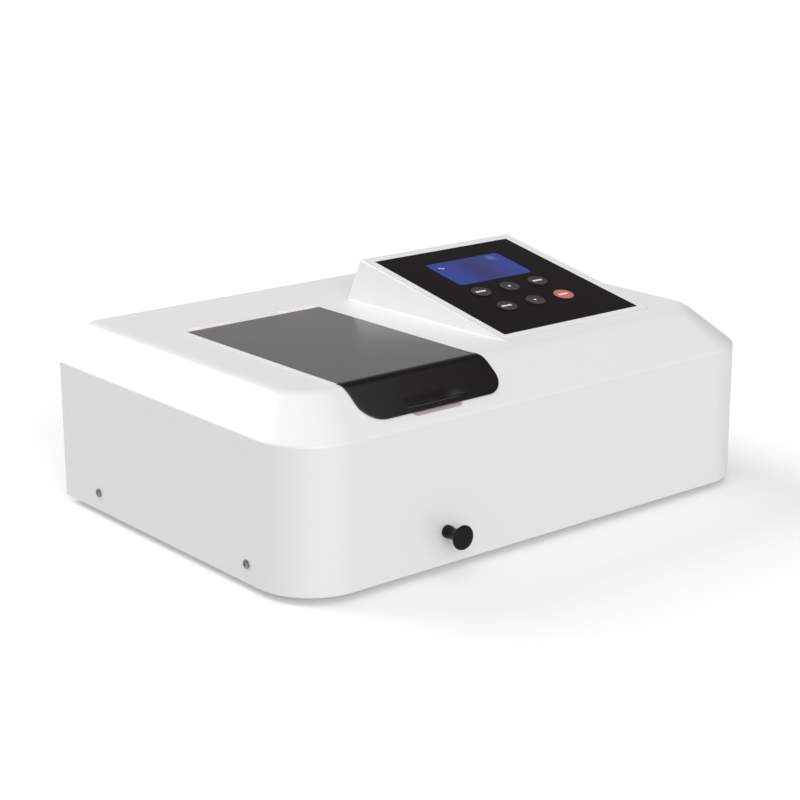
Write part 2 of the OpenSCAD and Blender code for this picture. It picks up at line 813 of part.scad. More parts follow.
// Rod with one shallow groove for each stop of the carriage
module pull_rod() color("silver") at_case()
    translate([rod_x, 0, rod_z]) difference() {
        translate([0, -8, 0]) rod_along_y(rod_r, carriage_y[0] + 8 + 11.5);
        for (i = [0:cells - 1])
            translate([0, detent_y + i * cell_pitch, 0]) rotate([-90, 0, 0])
                rotate_extrude() translate([rod_r + 0.7, 0]) circle(1.4, $fn = 32);
    }

// Mushroom knob: base flange, slightly waisted neck and thin round-edged disc
module pull_knob() color("#161616") at_case()
    translate([rod_x, -knob_gap, rod_z]) rotate([90, 0, 0]) difference() {
        length = knob_len - knob_gap;
        edge = 1.5;
        flange_r = 4.85;
        rotate_extrude() {
            difference() {
                square([knob_d / 2 - edge, length]);
                translate([18.3, 8]) circle(14, $fn = 160);
                translate([flange_r, -1]) square([10, 9]);
            }
            translate([knob_d / 2 - edge, length - edge]) circle(edge);
        }
        translate([0, 0, -1]) cylinder(r = rod_r, h = 9 - knob_gap);
    }

detent_y = tub_y[0] + 7;

// Bushing block in the tub's front wall, with a pocket for the detent
module rod_bushing() color("#d8d2c4") at_case() translate([rod_x, 0, rod_z]) difference() {
    union() {
        translate([0, tub_y[0] - tub_wall - 3, 0]) rod_along_y(bush_r, 10);
        translate([0, tub_y[0] + 0.05, 0]) rod_along_y(bush_r + 3, 4);
        span_box([-5, 5], [tub_y[0] + 0.05, detent_y + 5], [-bush_r, 14]);
    }
    rod_along_y(rod_r + bush_fit, 80);
    translate([0, detent_y, 0]) cylinder(r = 2.1, h = 13);
}

module detent_ball() color("silver") at_case()
    translate([rod_x, detent_y, rod_z + rod_r + 2 + 0.15]) sphere(2);

// Compression spring standing on the origin, a coil swept from rings of points
module coil(coil_r, wire, pitch, turns) {
    per_turn = 16;
    rings = turns * per_turn;
    sides = 6;
    function ring_point(i, j) =
        let (a = 360 * i / per_turn, b = 360 * j / sides, r = coil_r + wire * cos(b))
        [r * cos(a), r * sin(a), pitch * i / per_turn + wire * sin(b)];
    points = [for (i = [0:rings], j = [0:sides - 1]) ring_point(i, j)];
    walls = [for (i = [0:rings - 1], j = [0:sides - 1]) let (k = (j + 1) % sides)
        [i * sides + j, (i + 1) * sides + j, (i + 1) * sides + k, i * sides + k]];
    ends = [[for (j = [0:sides - 1]) j], [for (j = [sides - 1:-1:0]) rings * sides + j]];
    polyhedron(points, concat(walls, ends));
}

module detent_spring() color("silver") at_case()
    translate([rod_x, detent_y, rod_z + rod_r + 4.6]) coil(1.5, 0.3, 1.2, 4);

// ---- monochromator, lamp and detector

module monochromator_base() color("#b9bcc0") at_case() difference() {
    union() {
        span_box(mono_x, mono_y, mono_z);
        for (x = [mono_x[0] + 10, mono_x[1] - 10], y = [mono_y[0] + 10, mono_y[1] - 10])
            translate([x, y, base_top]) cylinder(r = 7, h = mono_z[0] - base_top + eps);
    }
    difference() {
        span_box(
            [mono_x[0] + mono_wall, mono_x[1] - mono_wall], [mono_y[0] + mono_wall, mono_y[1] - mono_wall],
            [mono_floor, mono_z[1] + 1]
        );
        // Bearing boss of the turntable
        translate([grating_at[0], grating_at[1], 0]) cylinder(r = 9, h = gear_z - 2);
    }
    translate([grating_at[0], grating_at[1], mono_floor]) cylinder(r = 4.05, h = 60);
    translate([mono_x[0] - 1, beam_y, beam_z]) rod_along_x(6, 10);
    translate([lamp_x, mono_y[1] - 8, beam_z]) rod_along_y(6, 10);
}

module monochromator_cover() color("#c8cacd") at_case() difference() {
    span_box(mono_x, mono_y, [mono_z[1], mono_z[1] + mono_lid_t]);
    for (x = [mono_x[0] + 2, mono_x[1] - 2], y = [mono_y[0] + 30, mono_y[1] - 30])
        translate([x, y, 0]) cylinder(r = 1, h = 200);
}

// Round plate with a narrow slit, axis along +X
module slit_plate() difference() {
    rod_along_x(9, 1);
    translate([-1, -0.5, -5]) cube([4, 1, 10]);
}

// Exit slit beside the compartment, and entrance slit behind the lamp's lens
module slit_plates() color("#333333") at_case() {
    translate([mono_x[0] + mono_wall + 0.05, beam_y, beam_z]) slit_plate();
    translate([lamp_x, mono_y[1] - mono_wall - 0.05, beam_z]) rotate([0, 0, -90]) slit_plate();
}

// Concave mirror with the rim of its face at the origin, looking along +X
module concave_mirror() rotate([0, 90, 0]) rotate_extrude() polygon(concat(
    [[0, -mirror_t], [mirror_r, -mirror_t]],
    [for (r = [mirror_r:-3:0]) [r, (r * r - mirror_r * mirror_r) / mirror_focus / 4]]
));

module aimed(at, angle) {
    translate([at[0], at[1], beam_z]) rotate([0, 0, angle]) children();
}

module collimating_mirror() color("lightsteelblue") at_case() aimed(collimator_at, collimator_aim)
    concave_mirror();
module focusing_mirror() color("lightsteelblue") at_case() aimed(focuser_at, focuser_aim)
    concave_mirror();

// Upright behind each mirror, with a foot on the housing's floor
module mirror_mounts() color("#8e9196") at_case() {
    for (m = [[collimator_at, collimator_aim], [focuser_at, focuser_aim]])
        aimed(m[0], m[1]) {
            span_box([-mirror_t - 4, -mirror_t - 0.05], [-14, 14], [mono_floor - beam_z, 16]);
            span_box([-mirror_t - 4, 8], [-14, 14], [mono_floor - beam_z, mono_floor - beam_z + 4]);
        }
}

module grating() color("#9fb7c9") at_case() aimed(grating_at, grating_aim)
    span_box([-6, 0], [-15, 15], [-9, 15]);

// Involute flank: the angle turned at radius r from base radius b
function flank(r, b) = sqrt(r * r / (b * b) - 1) * 180 / PI - acos(b / r);

// One tooth of an external gear, pointing along +X
module tooth(teeth) {
    pitch_r = gear_m * teeth / 2;
    base_r = pitch_r * cos(pressure);
    root_r = pitch_r - 1.25 * gear_m;
    tip_r = pitch_r + gear_m * 0.95;
    half = 90 / teeth - backlash / pitch_r * 45 / PI + flank(pitch_r, base_r);
    low_r = max(base_r, root_r) + eps;
    radii = [for (i = [0:5]) low_r + (tip_r - low_r) * i / 5];
    side = [for (r = radii) let (a = half - flank(r, base_r)) [r * cos(a), r * sin(a)]];
    foot = (root_r - 1) * [cos(half), sin(half)];
    polygon(concat(
        [foot], side,
        [for (i = [5:-1:0]) [side[i][0], -side[i][1]]],
        [[foot[0], -foot[1]]]
    ));
}

module grating_table() color("#a8abb0") at_case() aimed(grating_at, grating_aim) {
    // The sector points at the pinion, which lies behind the turntable's axis
    aim = 90 - grating_aim;
    root_r = gear_m * sector_teeth / 2 - 1.25 * gear_m;
    count = floor(sector_span / 360 * sector_teeth / 2);
    translate([0, 0, -beam_z]) {
        translate([0, 0, mono_floor + 1]) cylinder(r = 4, h = gear_z - mono_floor - 1 + eps);
        translate([0, 0, gear_z]) linear_extrude(gear_t) rotate([0, 0, aim]) {
            for (i = [-count:count])
                rotate([0, 0, i * 360 / sector_teeth]) tooth(sector_teeth);
            polygon(concat(
                [[0, 0]],
                [for (a = [-1:0.1:1]) root_r * [cos(a * sector_span / 2), sin(a * sector_span / 2)]]
            ));
            circle(12);
        }
    }
    // Seat and back plate of the grating
    span_box([-10, -6.05], [-15, 15], [gear_z + gear_t - beam_z - eps, 12]);
    span_box([-10, 2], [-15, 15], [gear_z + gear_t - beam_z - eps, gear_z + gear_t - beam_z + 3 - 0.1]);
}

pinion_at = [grating_at[0], grating_at[1] + gear_gap];

module grating_motor() color("#55585c") at_case() translate([pinion_at[0], pinion_at[1], 0]) {
    translate([0, 0, mono_floor]) difference() {
        round_box(28, 28, gear_z - mono_floor - 1, 2);
        translate([0, 0, -1]) cylinder(r = 2.55, h = 60);
    }
}

module motor_pinion() color("goldenrod") at_case() translate([pinion_at[0], pinion_at[1], 0]) {
    translate([0, 0, gear_z]) linear_extrude(gear_t) {
        circle(gear_m * pinion_teeth / 2 - 1.25 * gear_m);
        for (i = [0:pinion_teeth - 1])
            rotate([0, 0, -90 + (i + 0.5) * 360 / pinion_teeth]) tooth(pinion_teeth);
    }
    translate([0, 0, mono_floor + 1]) cylinder(r = 2.5, h = gear_z + gear_t - mono_floor + 1);
}

module condenser_lens() color("#cfe3ea") at_case() translate([lamp_x, mono_y[1] + 0.1, beam_z]) intersection() {
    rod_along_y(9, 8);
    translate([0, -12, 0]) sphere(18);
}

// Bent heat shield round the lamp, open towards the fan and below
module lamp_shield() color("silver") at_case() difference() {
    span_box([lamp_x - 26, lamp_x + 26], [mono_y[1] + 9, 282], [base_top, 88]);
    span_box([lamp_x - 24.5, lamp_x + 24.5], [mono_y[1] + 10.5, 290], [base_top + 1.5, 86.5]);
    translate([lamp_x, mono_y[1], beam_z]) rod_along_y(10, 20);
    for (i = [-2:2])
        translate([lamp_x + 9 * i, 270, 60]) round_box(4, 14, 40, 1.9);
}

module lamp_socket() color("#e8e4da") at_case() difference() {
    span_box([lamp_x - 8, lamp_x + 8], [262, 274], [base_top + 1.5, 44]);
    for (s = [-1, 1])
        translate([lamp_x + 2 * s, 268, 38]) cylinder(r = 0.6, h = 20);
}

module halogen_lamp() color("#dfe8ee") at_case() translate([lamp_x, 268, 0]) {
    translate([0, 0, 50]) cylinder(r = 4.5, h = 14);
    translate([0, 0, 64]) sphere(4.5);
    translate([-4, -1.6, 45]) cube([8, 3.2, 6]);
    for (s = [-1, 1])
        translate([2 * s, 0, 38.2]) cylinder(r = 0.5, h = 8);
}

module detector_housing() color("#3c3e42") at_case() difference() {
    union() {
        span_box([-203, -161], [beam_y - 20, beam_y + 20], [beam_z - 20, beam_z + 20]);
        span_box([-203, -185], [beam_y - 20, beam_y + 20], [base_top, beam_z]);
        span_box([-203, -168], [beam_y - 20, beam_y + 20], [base_top, base_top + 3]);
    }
    translate([-190, beam_y, beam_z]) rod_along_x(8, 60);
    translate([-210, beam_y, beam_z]) rod_along_x(4, 60);
}

// Sensor can on its board at the back of the detector's housing
module photodiode() color("goldenrod") at_case() translate([0, beam_y, beam_z]) {
    translate([-189.8, 0, 0]) rod_along_x(6.5, 5);
    translate([-204, 0, 0]) rod_along_x(3, 15);
    translate([-204.8, -18, -18]) cube([1.6, 36, 36]);
}

// ---- power

module power_supply() color("silver") at_case() {
    x = [-136, -46];
    y = [228, 274];
    difference() {
        span_box(x, y, [base_top, base_top + 40]);
        span_box([x[0] + 1.2, x[1] - 1.2], [y[0] + 1.2, y[1] - 1.2], [base_top + 1.2, base_top + 38.8]);
        for (i = [0:8], j = [0:2])
            translate([x[0] + 9 + 9 * i, y[0] + 12 + 15 * j, base_top + 30]) cylinder(r = 2.6, h = 20);
    }
}

// Ring transformer with its clamp plate and bolt
module transformer() color("#b07a3c") at_case() translate([186, 190, base_top]) {
    rotate_extrude() translate([22, 13]) intersection() {
        circle(13);
        square([20, 24], center = true);
    }
    cylinder(r = 16, h = 27);
    cylinder(r = 3, h = 31);
}

base_plate();
rubber_feet();
foot_screws();
top_cover();
cover_screws();
rear_panel();
rear_screws();
panel_bezel();
key_panel();
display_window();
display_module();
mode_key();
up_key();
zero_key();
print_key();
down_key();
enter_key();
key_board();
control_board();
board_standoffs();
ribbon_cable();
sample_lid();
lid_hinge_pins();
lid_hinge_brackets();
sample_chamber();
beam_windows();
guide_rods();
cell_carriage();
pull_rod();
pull_knob();
rod_bushing();
detent_ball();
detent_spring();
monochromator_base();
monochromator_cover();
slit_plates();
collimating_mirror();
focusing_mirror();
mirror_mounts();
grating();
grating_table();
grating_motor();
motor_pinion();
condenser_lens();
lamp_shield();
halogen_lamp();
lamp_socket();
detector_housing();
photodiode();
power_supply();
transformer();
mains_inlet();
inlet_pins();
fuse_holder();
power_switch();
power_rocker();
fan_frame();
fan_guard();
fan_rotor();
data_port();
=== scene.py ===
"""The looks of a benchtop spectrophotometer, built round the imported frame."""

import json
import math

import bmesh
import bpy
from mathutils import Matrix, Vector


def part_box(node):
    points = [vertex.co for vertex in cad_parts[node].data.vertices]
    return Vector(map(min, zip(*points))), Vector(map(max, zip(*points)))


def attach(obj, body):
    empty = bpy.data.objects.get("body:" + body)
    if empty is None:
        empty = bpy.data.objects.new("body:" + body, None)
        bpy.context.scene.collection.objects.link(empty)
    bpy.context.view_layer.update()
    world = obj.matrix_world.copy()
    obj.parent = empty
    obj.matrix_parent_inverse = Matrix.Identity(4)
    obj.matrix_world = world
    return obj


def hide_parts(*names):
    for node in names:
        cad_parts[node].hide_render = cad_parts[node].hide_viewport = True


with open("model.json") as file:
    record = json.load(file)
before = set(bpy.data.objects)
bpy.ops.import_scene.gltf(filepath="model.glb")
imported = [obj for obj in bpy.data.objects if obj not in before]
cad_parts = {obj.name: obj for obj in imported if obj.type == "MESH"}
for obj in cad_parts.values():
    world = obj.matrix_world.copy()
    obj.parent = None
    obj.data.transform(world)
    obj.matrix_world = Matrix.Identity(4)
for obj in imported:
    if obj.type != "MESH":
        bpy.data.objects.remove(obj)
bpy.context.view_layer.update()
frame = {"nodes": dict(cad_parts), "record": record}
nodes = frame["nodes"]
scene = bpy.context.scene

# ---- sizes, in millimetres from the middle of the case, its front face and the floor
MM = 0.001
cover_low, cover_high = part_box("top_cover")
FRONT = cover_low.y  # the front face's place in the frame, in metres
SKIRT = cover_low.z / MM
HALF = cover_high.x / MM
DEPTH = (cover_high.y - cover_low.y) / MM
WALL, ROOF = 114.2, 142.2
SIDE_RUN, FRONT_RUN = 26.5, 37.0
CORNER, ROOF_CORNER = 47.0, 32.0
CREASE, LOWER_CREASE, BRIM = 14.0, 3.0, 1.0
CORNER_STEPS = 24
SHELL = 3.0
SIDE_ANGLE = math.atan2(ROOF - WALL, SIDE_RUN)
FRONT_ANGLE = math.atan2(ROOF - WALL, FRONT_RUN)

CONSOLE_X, CONSOLE_FRONT = 85.9, 54.2
CONSOLE_HALF, CONSOLE_LENGTH = 160.7 / 2, 179.0
CONSOLE_TILT = math.radians(10.8)
CONSOLE_DRAFT = math.radians(12)
CONSOLE_FOOT, CONSOLE_EDGE = 1.5, 1.6
PANEL_U, PANEL_V, PANEL_W, PANEL_L, PANEL_T = 85.1, 9.6, 143.7, 160.0, 1.2
BEZEL_MARGIN, SEAM = 2.6, 0.5
WINDOW_U, WINDOW_V, WINDOW_W, WINDOW_L = 87.1, 101.0, 79.0, 47.4
KEY_ROWS, KEY_PITCH, KEY_D, KEY_PROUD = (84.0, 52.9), 30.6, 16.4, 0.8
KEY_GAP = 0.3
GLOW_MARGIN, GLOW_CORNER = 0.5, 6.0

LID_X, LID_W, LID_BACK, LID_T, LID_GAP = -99.8, 127.6, 231.0, 1.0, 0.1
LID_EDGE = 0.45
FLAP_END, FLAP_CORNER = 11.2, 18.0
# the side strips of the pale seal piece are a painted highlight along the lid's edges; the back strip is a pale
# seal
SIDE_SHEEN_STRIP, SEAL_BACK = 0.4, 3.0
LID_LEAN, LID_FLARE = (-1.6, 1.8), 0.6
HINGE_Y, HINGE_Z, HINGE_R, KNUCKLE = 232.2, 143.0, 1.7, 12.0
HINGE_PLACES = (-42.0, 42.0)
PIN_R = 0.85
OPENING_X, OPENING_Y = (-155.0, -50.0), (45.0, 222.0)
ROD_X, ROD_Z, ROD_HOLE, ROD_BORE = -98.9, 30.9, 3.6, 3.0
KNOB_LENGTH, KNOB_DISC, KNOB_FLANGE = 19.6, 9.2, 4.85
RECESS_X, RECESS_S, RECESS_W, RECESS_L, RECESS_DEEP = ROD_X - 0.8, 14.0, 45.0, 11.0, 1.8
SIDE_SCREWS = [(s * HALF, y, 20.0) for s in (-1, 1) for y in (61.0, 258.4)]
SCREW_HOLE = 1.6


# ---- mesh helpers: a shape is a list of points and a list of faces
def turned(angle, axis):
    return Matrix.Rotation(angle, 4, axis)


def spot(x, y, z):
    return Matrix.Translation((x, y, z))


def on_band(x, s, w=0.0):
    """A place on the front band: Y runs up its slope from the lower edge, Z out of it."""
    return spot(x, 0, WALL) @ turned(FRONT_ANGLE, "X") @ spot(0, s, w)


def on_console(u, v, w=0.0):
    """A place on the console's sloping face: Y runs up the slope, Z out of it."""
    return spot(u, CONSOLE_FRONT, ROOF) @ turned(CONSOLE_TILT, "X") @ spot(0, v, w)


def across_hinge(x):
    """A place on the hinge's axis, with Z along it."""
    return spot(x, HINGE_Y, HINGE_Z) @ turned(math.pi / 2, "Y")


def arc(centre, radius, start, end, steps):
    """Points along an arc, by angles in degrees."""
    angles = [math.radians(start + (end - start) * i / steps) for i in range(steps + 1)]
    return [(centre[0] + radius * math.cos(a), centre[1] + radius * math.sin(a)) for a in angles]


def outline(width, depth, radius, steps=6):
    """Rectangle with round corners about the origin, anticlockwise."""
    x, y = width / 2 - radius, depth / 2 - radius
    corners = [((x, -y), -90), ((x, y), 0), ((-x, y), 90), ((-x, -y), 180)]
    return [p for centre, a in corners for p in arc(centre, radius, a, a + 90, steps)]


def circle(radius, steps=48):
    return arc((0, 0), radius, 0, 360, steps)[:-1]


def at_height(points, z):
    return [(x, y, z) for x, y in points]


def loft(rings, endless=False):
    """Skin over closed rings of equal length, with a flat cap at each end unless it's endless."""
    count, last = len(rings[0]), len(rings)
    faces = []
    for i in range(last if endless else last - 1):
        low, high = i * count, (i + 1) % last * count
        for j in range(count):
            k = (j + 1) % count
            faces.append((low + j, low + k, high + k, high + j))
    if not endless:
        faces.append(tuple(reversed(range(count))))
        faces.append(tuple(range((last - 1) * count, last * count)))
    return [p for ring in rings for p in ring], faces


def moved(shape, place):
    return [tuple(place @ Vector(p)) for p in shape[0]], shape[1]


def joined(*shapes):
    points, faces = [], []
    for some_points, some_faces in shapes:
        base = len(points)
        points += some_points
        faces += [tuple(base + i for i in face) for face in some_faces]
    return points, faces


def plate(width, depth, radius, low, high, edge=0.0, steps=6):
    """Flat plate with round corners and, if asked, a round upper edge."""
    rings = [at_height(outline(width, depth, radius, steps), low)]
    for r, z in arc((0, high - edge), edge, 0, 90, 4) if edge else [(0, high)]:
        inward = edge - r
        size = (width - 2 * inward, depth - 2 * inward, max(radius - inward, 0.02))
        rings.append(at_height(outline(*size, steps), z))
    return loft(rings)


def dish(width, depth, radius, deep, soften, above):
    """Cutter for a shallow recess with a round foot and a round brim."""
    rings = []
    for r, z in arc((0, -deep + soften), soften, -90, 0, 5):
        inward = soften - r
        rings.append(at_height(outline(width - 2 * inward, depth - 2 * inward, radius - inward + 0.5), z))
    for r, z in arc((soften, -soften), soften, 180, 90, 5):
        rings.append(at_height(outline(width + 2 * r, depth + 2 * r, radius + r + 0.5), z))
    rings.append(at_height(outline(width + 2 * soften, depth + 2 * soften, radius + soften + 0.5), above))
    return loft(rings)


def rod(radius, low, high, steps=48):
    return loft([at_height(circle(radius, steps), z) for z in (low, high)])


def spin(profile, steps=64):
    """Solid of revolution about Z from points (radius, height) that start and end on the axis."""
    return loft([at_height(circle(max(r, 1e-6), steps), z) for r, z in profile])


def build(name, shape):
    """Mesh object from a shape in millimetres, merged and with its faces pointing out."""
    points, faces = shape
    mesh = bpy.data.meshes.new(name)
    mesh.from_pydata([(x * MM, y * MM + FRONT, z * MM) for x, y, z in points], [], faces)
    tidy_mesh(mesh)
    obj = bpy.data.objects.new(name, mesh)
    scene.collection.objects.link(obj)
    return obj


def tidy_mesh(mesh, merge=2e-6):
    bm = bmesh.new()
    bm.from_mesh(mesh)
    bmesh.ops.remove_doubles(bm, verts=bm.verts, dist=merge)
    bmesh.ops.dissolve_degenerate(bm, edges=bm.edges, dist=1e-7)
    bmesh.ops.recalc_face_normals(bm, faces=bm.faces)
    bm.to_mesh(mesh)
    bm.free()


def settle(obj):
    """Applies the modifiers of an object."""
    graph = bpy.context.evaluated_depsgraph_get()
    mesh = bpy.data.meshes.new_from_object(obj.evaluated_get(graph))
    old = obj.data
    obj.modifiers.clear()
    obj.data = mesh
    bpy.data.meshes.remove(old)


def carve(obj, *shapes):
    """Cuts shapes that don't touch each other out of an object, in one go."""
    cutter = build("cutter", joined(*shapes))
    cut = obj.modifiers.new("cut", "BOOLEAN")
    cut.operation, cut.solver, cut.object = "DIFFERENCE", "EXACT", cutter
    settle(obj)
    spent = cutter.data
    bpy.data.objects.remove(cutter)
    bpy.data.meshes.remove(spent)
    tidy_mesh(obj.data, 1e-7)


def rounded(obj, width):
    """Rounds the sharp edges of a piece."""
    bevel = obj.modifiers.new("soften", "BEVEL")
    bevel.width, bevel.segments, bevel.angle_limit = width * MM, 2, math.radians(40)
    settle(obj)


def smooth(obj, sharp=30.0):
    """Smooth shading that keeps flat faces flat, with creases where faces meet at more than an angle."""
    bm = bmesh.new()
    bm.from_mesh(obj.data)
    for edge in bm.edges:
        edge.smooth = len(edge.link_faces) == 2 and edge.calc_face_angle(4) < math.radians(sharp)
    for face in bm.faces:
        face.smooth = True
    bm.to_mesh(obj.data)
    bm.free()
    shade = obj.modifiers.new("shade", "WEIGHTED_NORMAL")
    shade.keep_sharp, shade.weight = True, 100


def dress(obj, look, body="root", stands_for=(), sharp=30.0):
    """Gives a piece its material, and ties it to its CAD body."""
    slot, material = look
    obj.data.materials.clear()
    obj.data.materials.append(material)
    smooth(obj, sharp)
    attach(obj, body)
    if stands_for:
        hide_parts(*stands_for)


# ---- materials
def material(name, colour, roughness, metallic=0.0, grain=0.8, bump=0.02, vary=0.03, shift=0.0, **sockets):
    """Surface with a fine grain: grain is its size in millimetres, bump its height there,
    vary how far the roughness wanders and shift how far the colour does."""
    mat = bpy.data.materials.new(name)
    mat.use_nodes = True
    tree = mat.node_tree
    shader = tree.nodes["Principled BSDF"]
    shader.inputs["Base Color"].default_value = (*colour, 1)
    shader.inputs["Metallic"].default_value = metallic
    for key, value in sockets.items():
        shader.inputs[key.replace("_", " ")].default_value = value
    place = tree.nodes.new("ShaderNodeTexCoord")
    fine = noise(tree, place, 1 / (grain * MM), 3)
    broad = noise(tree, place, 18, 2)
    rough = tree.nodes.new("ShaderNodeMapRange")
    rough.inputs["To Min"].default_value = roughness - vary
    rough.inputs["To Max"].default_value = roughness + vary
    tree.links.new(broad.outputs["Fac"], rough.inputs["Value"])
    tree.links.new(rough.outputs["Result"], shader.inputs["Roughness"])
    height = tree.nodes.new("ShaderNodeBump")
    height.inputs["Strength"].default_value = 1.0
    height.inputs["Distance"].default_value = bump * MM
    tree.links.new(fine.outputs["Fac"], height.inputs["Height"])
    tree.links.new(height.outputs["Normal"], shader.inputs["Normal"])
    if shift:
        tint = tree.nodes.new("ShaderNodeMix")
        tint.data_type = "RGBA"
        darker, lighter, mixed = tint.inputs[6], tint.inputs[7], tint.outputs[2]  # its colour sockets
        darker.default_value = (*[c * (1 - shift) for c in colour], 1)
        lighter.default_value = (*[min(c * (1 + shift), 1) for c in colour], 1)
        tree.links.new(broad.outputs["Fac"], tint.inputs["Factor"])
        tree.links.new(mixed, shader.inputs["Base Color"])
    return mat


def noise(tree, place, scale, detail):
    texture = tree.nodes.new("ShaderNodeTexNoise")
    texture.inputs["Scale"].default_value = scale
    texture.inputs["Detail"].default_value = detail
    tree.links.new(place.outputs["Object"], texture.inputs["Vector"])
    return texture


WHITE = material("case_plastic", (0.79, 0.79, 0.793), 0.3, grain=0.7, bump=0.004, shift=0.004)
FRAME_WHITE = material("bezel_plastic", (0.80, 0.80, 0.803), 0.36, grain=0.7, bump=0.004, shift=0.004)
FILM = material("panel_film", (0.006, 0.0038, 0.0044), 0.38, grain=0.5, bump=0.003, vary=0.02,
                Specular_IOR_Level=0.05)
SMOKE = material("lid_plastic", (0.010, 0.0085, 0.009), 0.2, grain=2.0, bump=0.001, vary=0.02,
                 Specular_IOR_Level=0.74)
# pale pinkish white: the lid's back seal and the knuckles, and a painted highlight where the strips run along
# the lid's sides
SEAL_AND_SHEEN = material("lid_seal_and_sheen", (0.84, 0.78, 0.78), 0.4, grain=1.0, bump=0.004)
# pinkish grey for the sheet in the finger recess: painted shade
RECESS_PAINTED_SHADE = material("recess_painted_shade", (0.50, 0.43, 0.44), 0.55, grain=1.0, bump=0.006)
KEY_GREY = material("key_plastic", (0.040, 0.037, 0.035), 0.45, grain=0.5, bump=0.004, Specular_IOR_Level=0.35)
KEY_RED = material("red_key_plastic", (0.55, 0.15, 0.14), 0.42, grain=0.5, bump=0.004)
INK = material("key_ink", (0.9, 0.9, 0.88), 0.6, grain=0.4, bump=0.003)
KNOB = material("knob_plastic", (0.004, 0.004, 0.0045), 0.34, grain=0.6, bump=0.006, Specular_IOR_Level=0.14)
RUBBER = material("foot_rubber", (0.018, 0.018, 0.018), 0.8, grain=0.9, bump=0.03, vary=0.06)
CHROME = material("screw_plating", (0.24, 0.24, 0.245), 0.24, metallic=1.0, grain=0.4, bump=0.004)
PAINT = material("grey_powder_coat", (0.50, 0.51, 0.52), 0.55, grain=1.1, bump=0.03, vary=0.05)
STEEL = material("bright_steel", (0.56, 0.57, 0.58), 0.3, metallic=1.0, grain=0.5, bump=0.006, vary=0.06)
SHEET = material("plated_sheet", (0.52, 0.53, 0.54), 0.42, metallic=1.0, grain=3.0, bump=0.01, vary=0.1,
                 shift=0.05)
CAST = material("cast_aluminium", (0.55, 0.56, 0.57), 0.5, metallic=1.0, grain=1.2, bump=0.05, vary=0.08)
ANODISED = material("black_anodising", (0.02, 0.02, 0.022), 0.5, metallic=0.6, grain=0.5, bump=0.006)
CHAMBER = material("chamber_black", (0.012, 0.012, 0.013), 0.7, grain=0.8, bump=0.02, vary=0.08)
CARRIAGE = material("dark_anodising", (0.05, 0.052, 0.056), 0.42, metallic=0.8, grain=0.5, bump=0.006)
ACETAL = material("natural_acetal", (0.55, 0.52, 0.44), 0.45, grain=0.8, bump=0.006)
FITTING = material("fitting_plastic", (0.014, 0.014, 0.015), 0.45, grain=0.8, bump=0.012)
CONTACT = material("contact_plating", (0.6, 0.6, 0.62), 0.25, metallic=1.0, grain=0.4, bump=0.003)
BRASS = material("brass", (0.62, 0.42, 0.16), 0.34, metallic=1.0, grain=0.5, bump=0.006, vary=0.08)
BOARD = material("solder_mask", (0.02, 0.11, 0.04), 0.35, grain=2.5, bump=0.03, vary=0.1, shift=0.25)
CABLE = material("ribbon", (0.3, 0.31, 0.33), 0.5, grain=1.2, bump=0.05)
MOTOR = material("motor_paint", (0.03, 0.03, 0.032), 0.42, grain=0.9, bump=0.012)
CERAMIC = material("socket_ceramic", (0.68, 0.66, 0.6), 0.6, grain=0.8, bump=0.02)
WINDING = material("varnished_tape", (0.34, 0.16, 0.04), 0.35, grain=1.6, bump=0.06, shift=0.15)
MIRROR = material("mirror_coating", (0.86, 0.87, 0.88), 0.05, metallic=1.0, grain=4.0, bump=0.0005, vary=0.01)
GLASS = material("clear_glass", (0.95, 0.97, 0.98), 0.05, grain=4.0, bump=0.001, vary=0.01, Alpha=0.35)


# ---- case
def inset(z, run, angle):
    """How far the case's outline has moved in at a height: wall, lower crease, slope, soft upper crease."""
    if z < SKIRT + BRIM:
        rise = SKIRT + BRIM - z
        return BRIM - math.sqrt(max(BRIM * BRIM - rise * rise, 0))
    depth = ROOF - z
    if depth < CREASE * (1 - math.cos(angle)):
        return run + CREASE * math.tan(angle / 2) - math.sqrt(max(2 * CREASE * depth - depth * depth, 0))
    rise = z - WALL + LOWER_CREASE * math.tan((math.pi / 2 - angle) / 2)
    if rise <= 0:
        return 0.0
    if rise < LOWER_CREASE * math.cos(angle):
        return LOWER_CREASE - math.sqrt(LOWER_CREASE * LOWER_CREASE - rise * rise)
    return run - depth / math.tan(angle)


def case_ring(side, front, radius, z, back):
    """Outline of the case in plan: round corners in front, square ones behind."""
    half = HALF - side
    ring = [(-half, back)]
    ring += arc((-half + radius, front + radius), radius, 180, 270, CORNER_STEPS)
    ring += arc((half - radius, front + radius), radius, 270, 360, CORNER_STEPS)
    return at_height(ring + [(half, back)], z)


def case_rings():
    heights = [SKIRT + h for h in (0, 0.13, 0.5, 1)]
    heights += [WALL + h for h in (-1.0, -0.8, -0.5, -0.15, 0.2, 0.5, 0.9, 1.3, 1.6, 8, 16)]
    drops = (4.38, 3.6, 2.83, 2.2, 1.6, 1.1, 0.7, 0.4, 0.18, 0.05, 0)
    heights += [ROOF - d for d in drops]
    rings = []
    for z in heights:
        up = min(max((z - WALL) / (ROOF - WALL), 0), 1)
        radius = CORNER + (ROOF_CORNER - CORNER) * up
        side, front = inset(z, SIDE_RUN, SIDE_ANGLE), inset(z, FRONT_RUN, FRONT_ANGLE)
        brim = side if z < SKIRT + BRIM else 0
        rings.append(case_ring(side, front, radius - brim, z, DEPTH))
    return rings


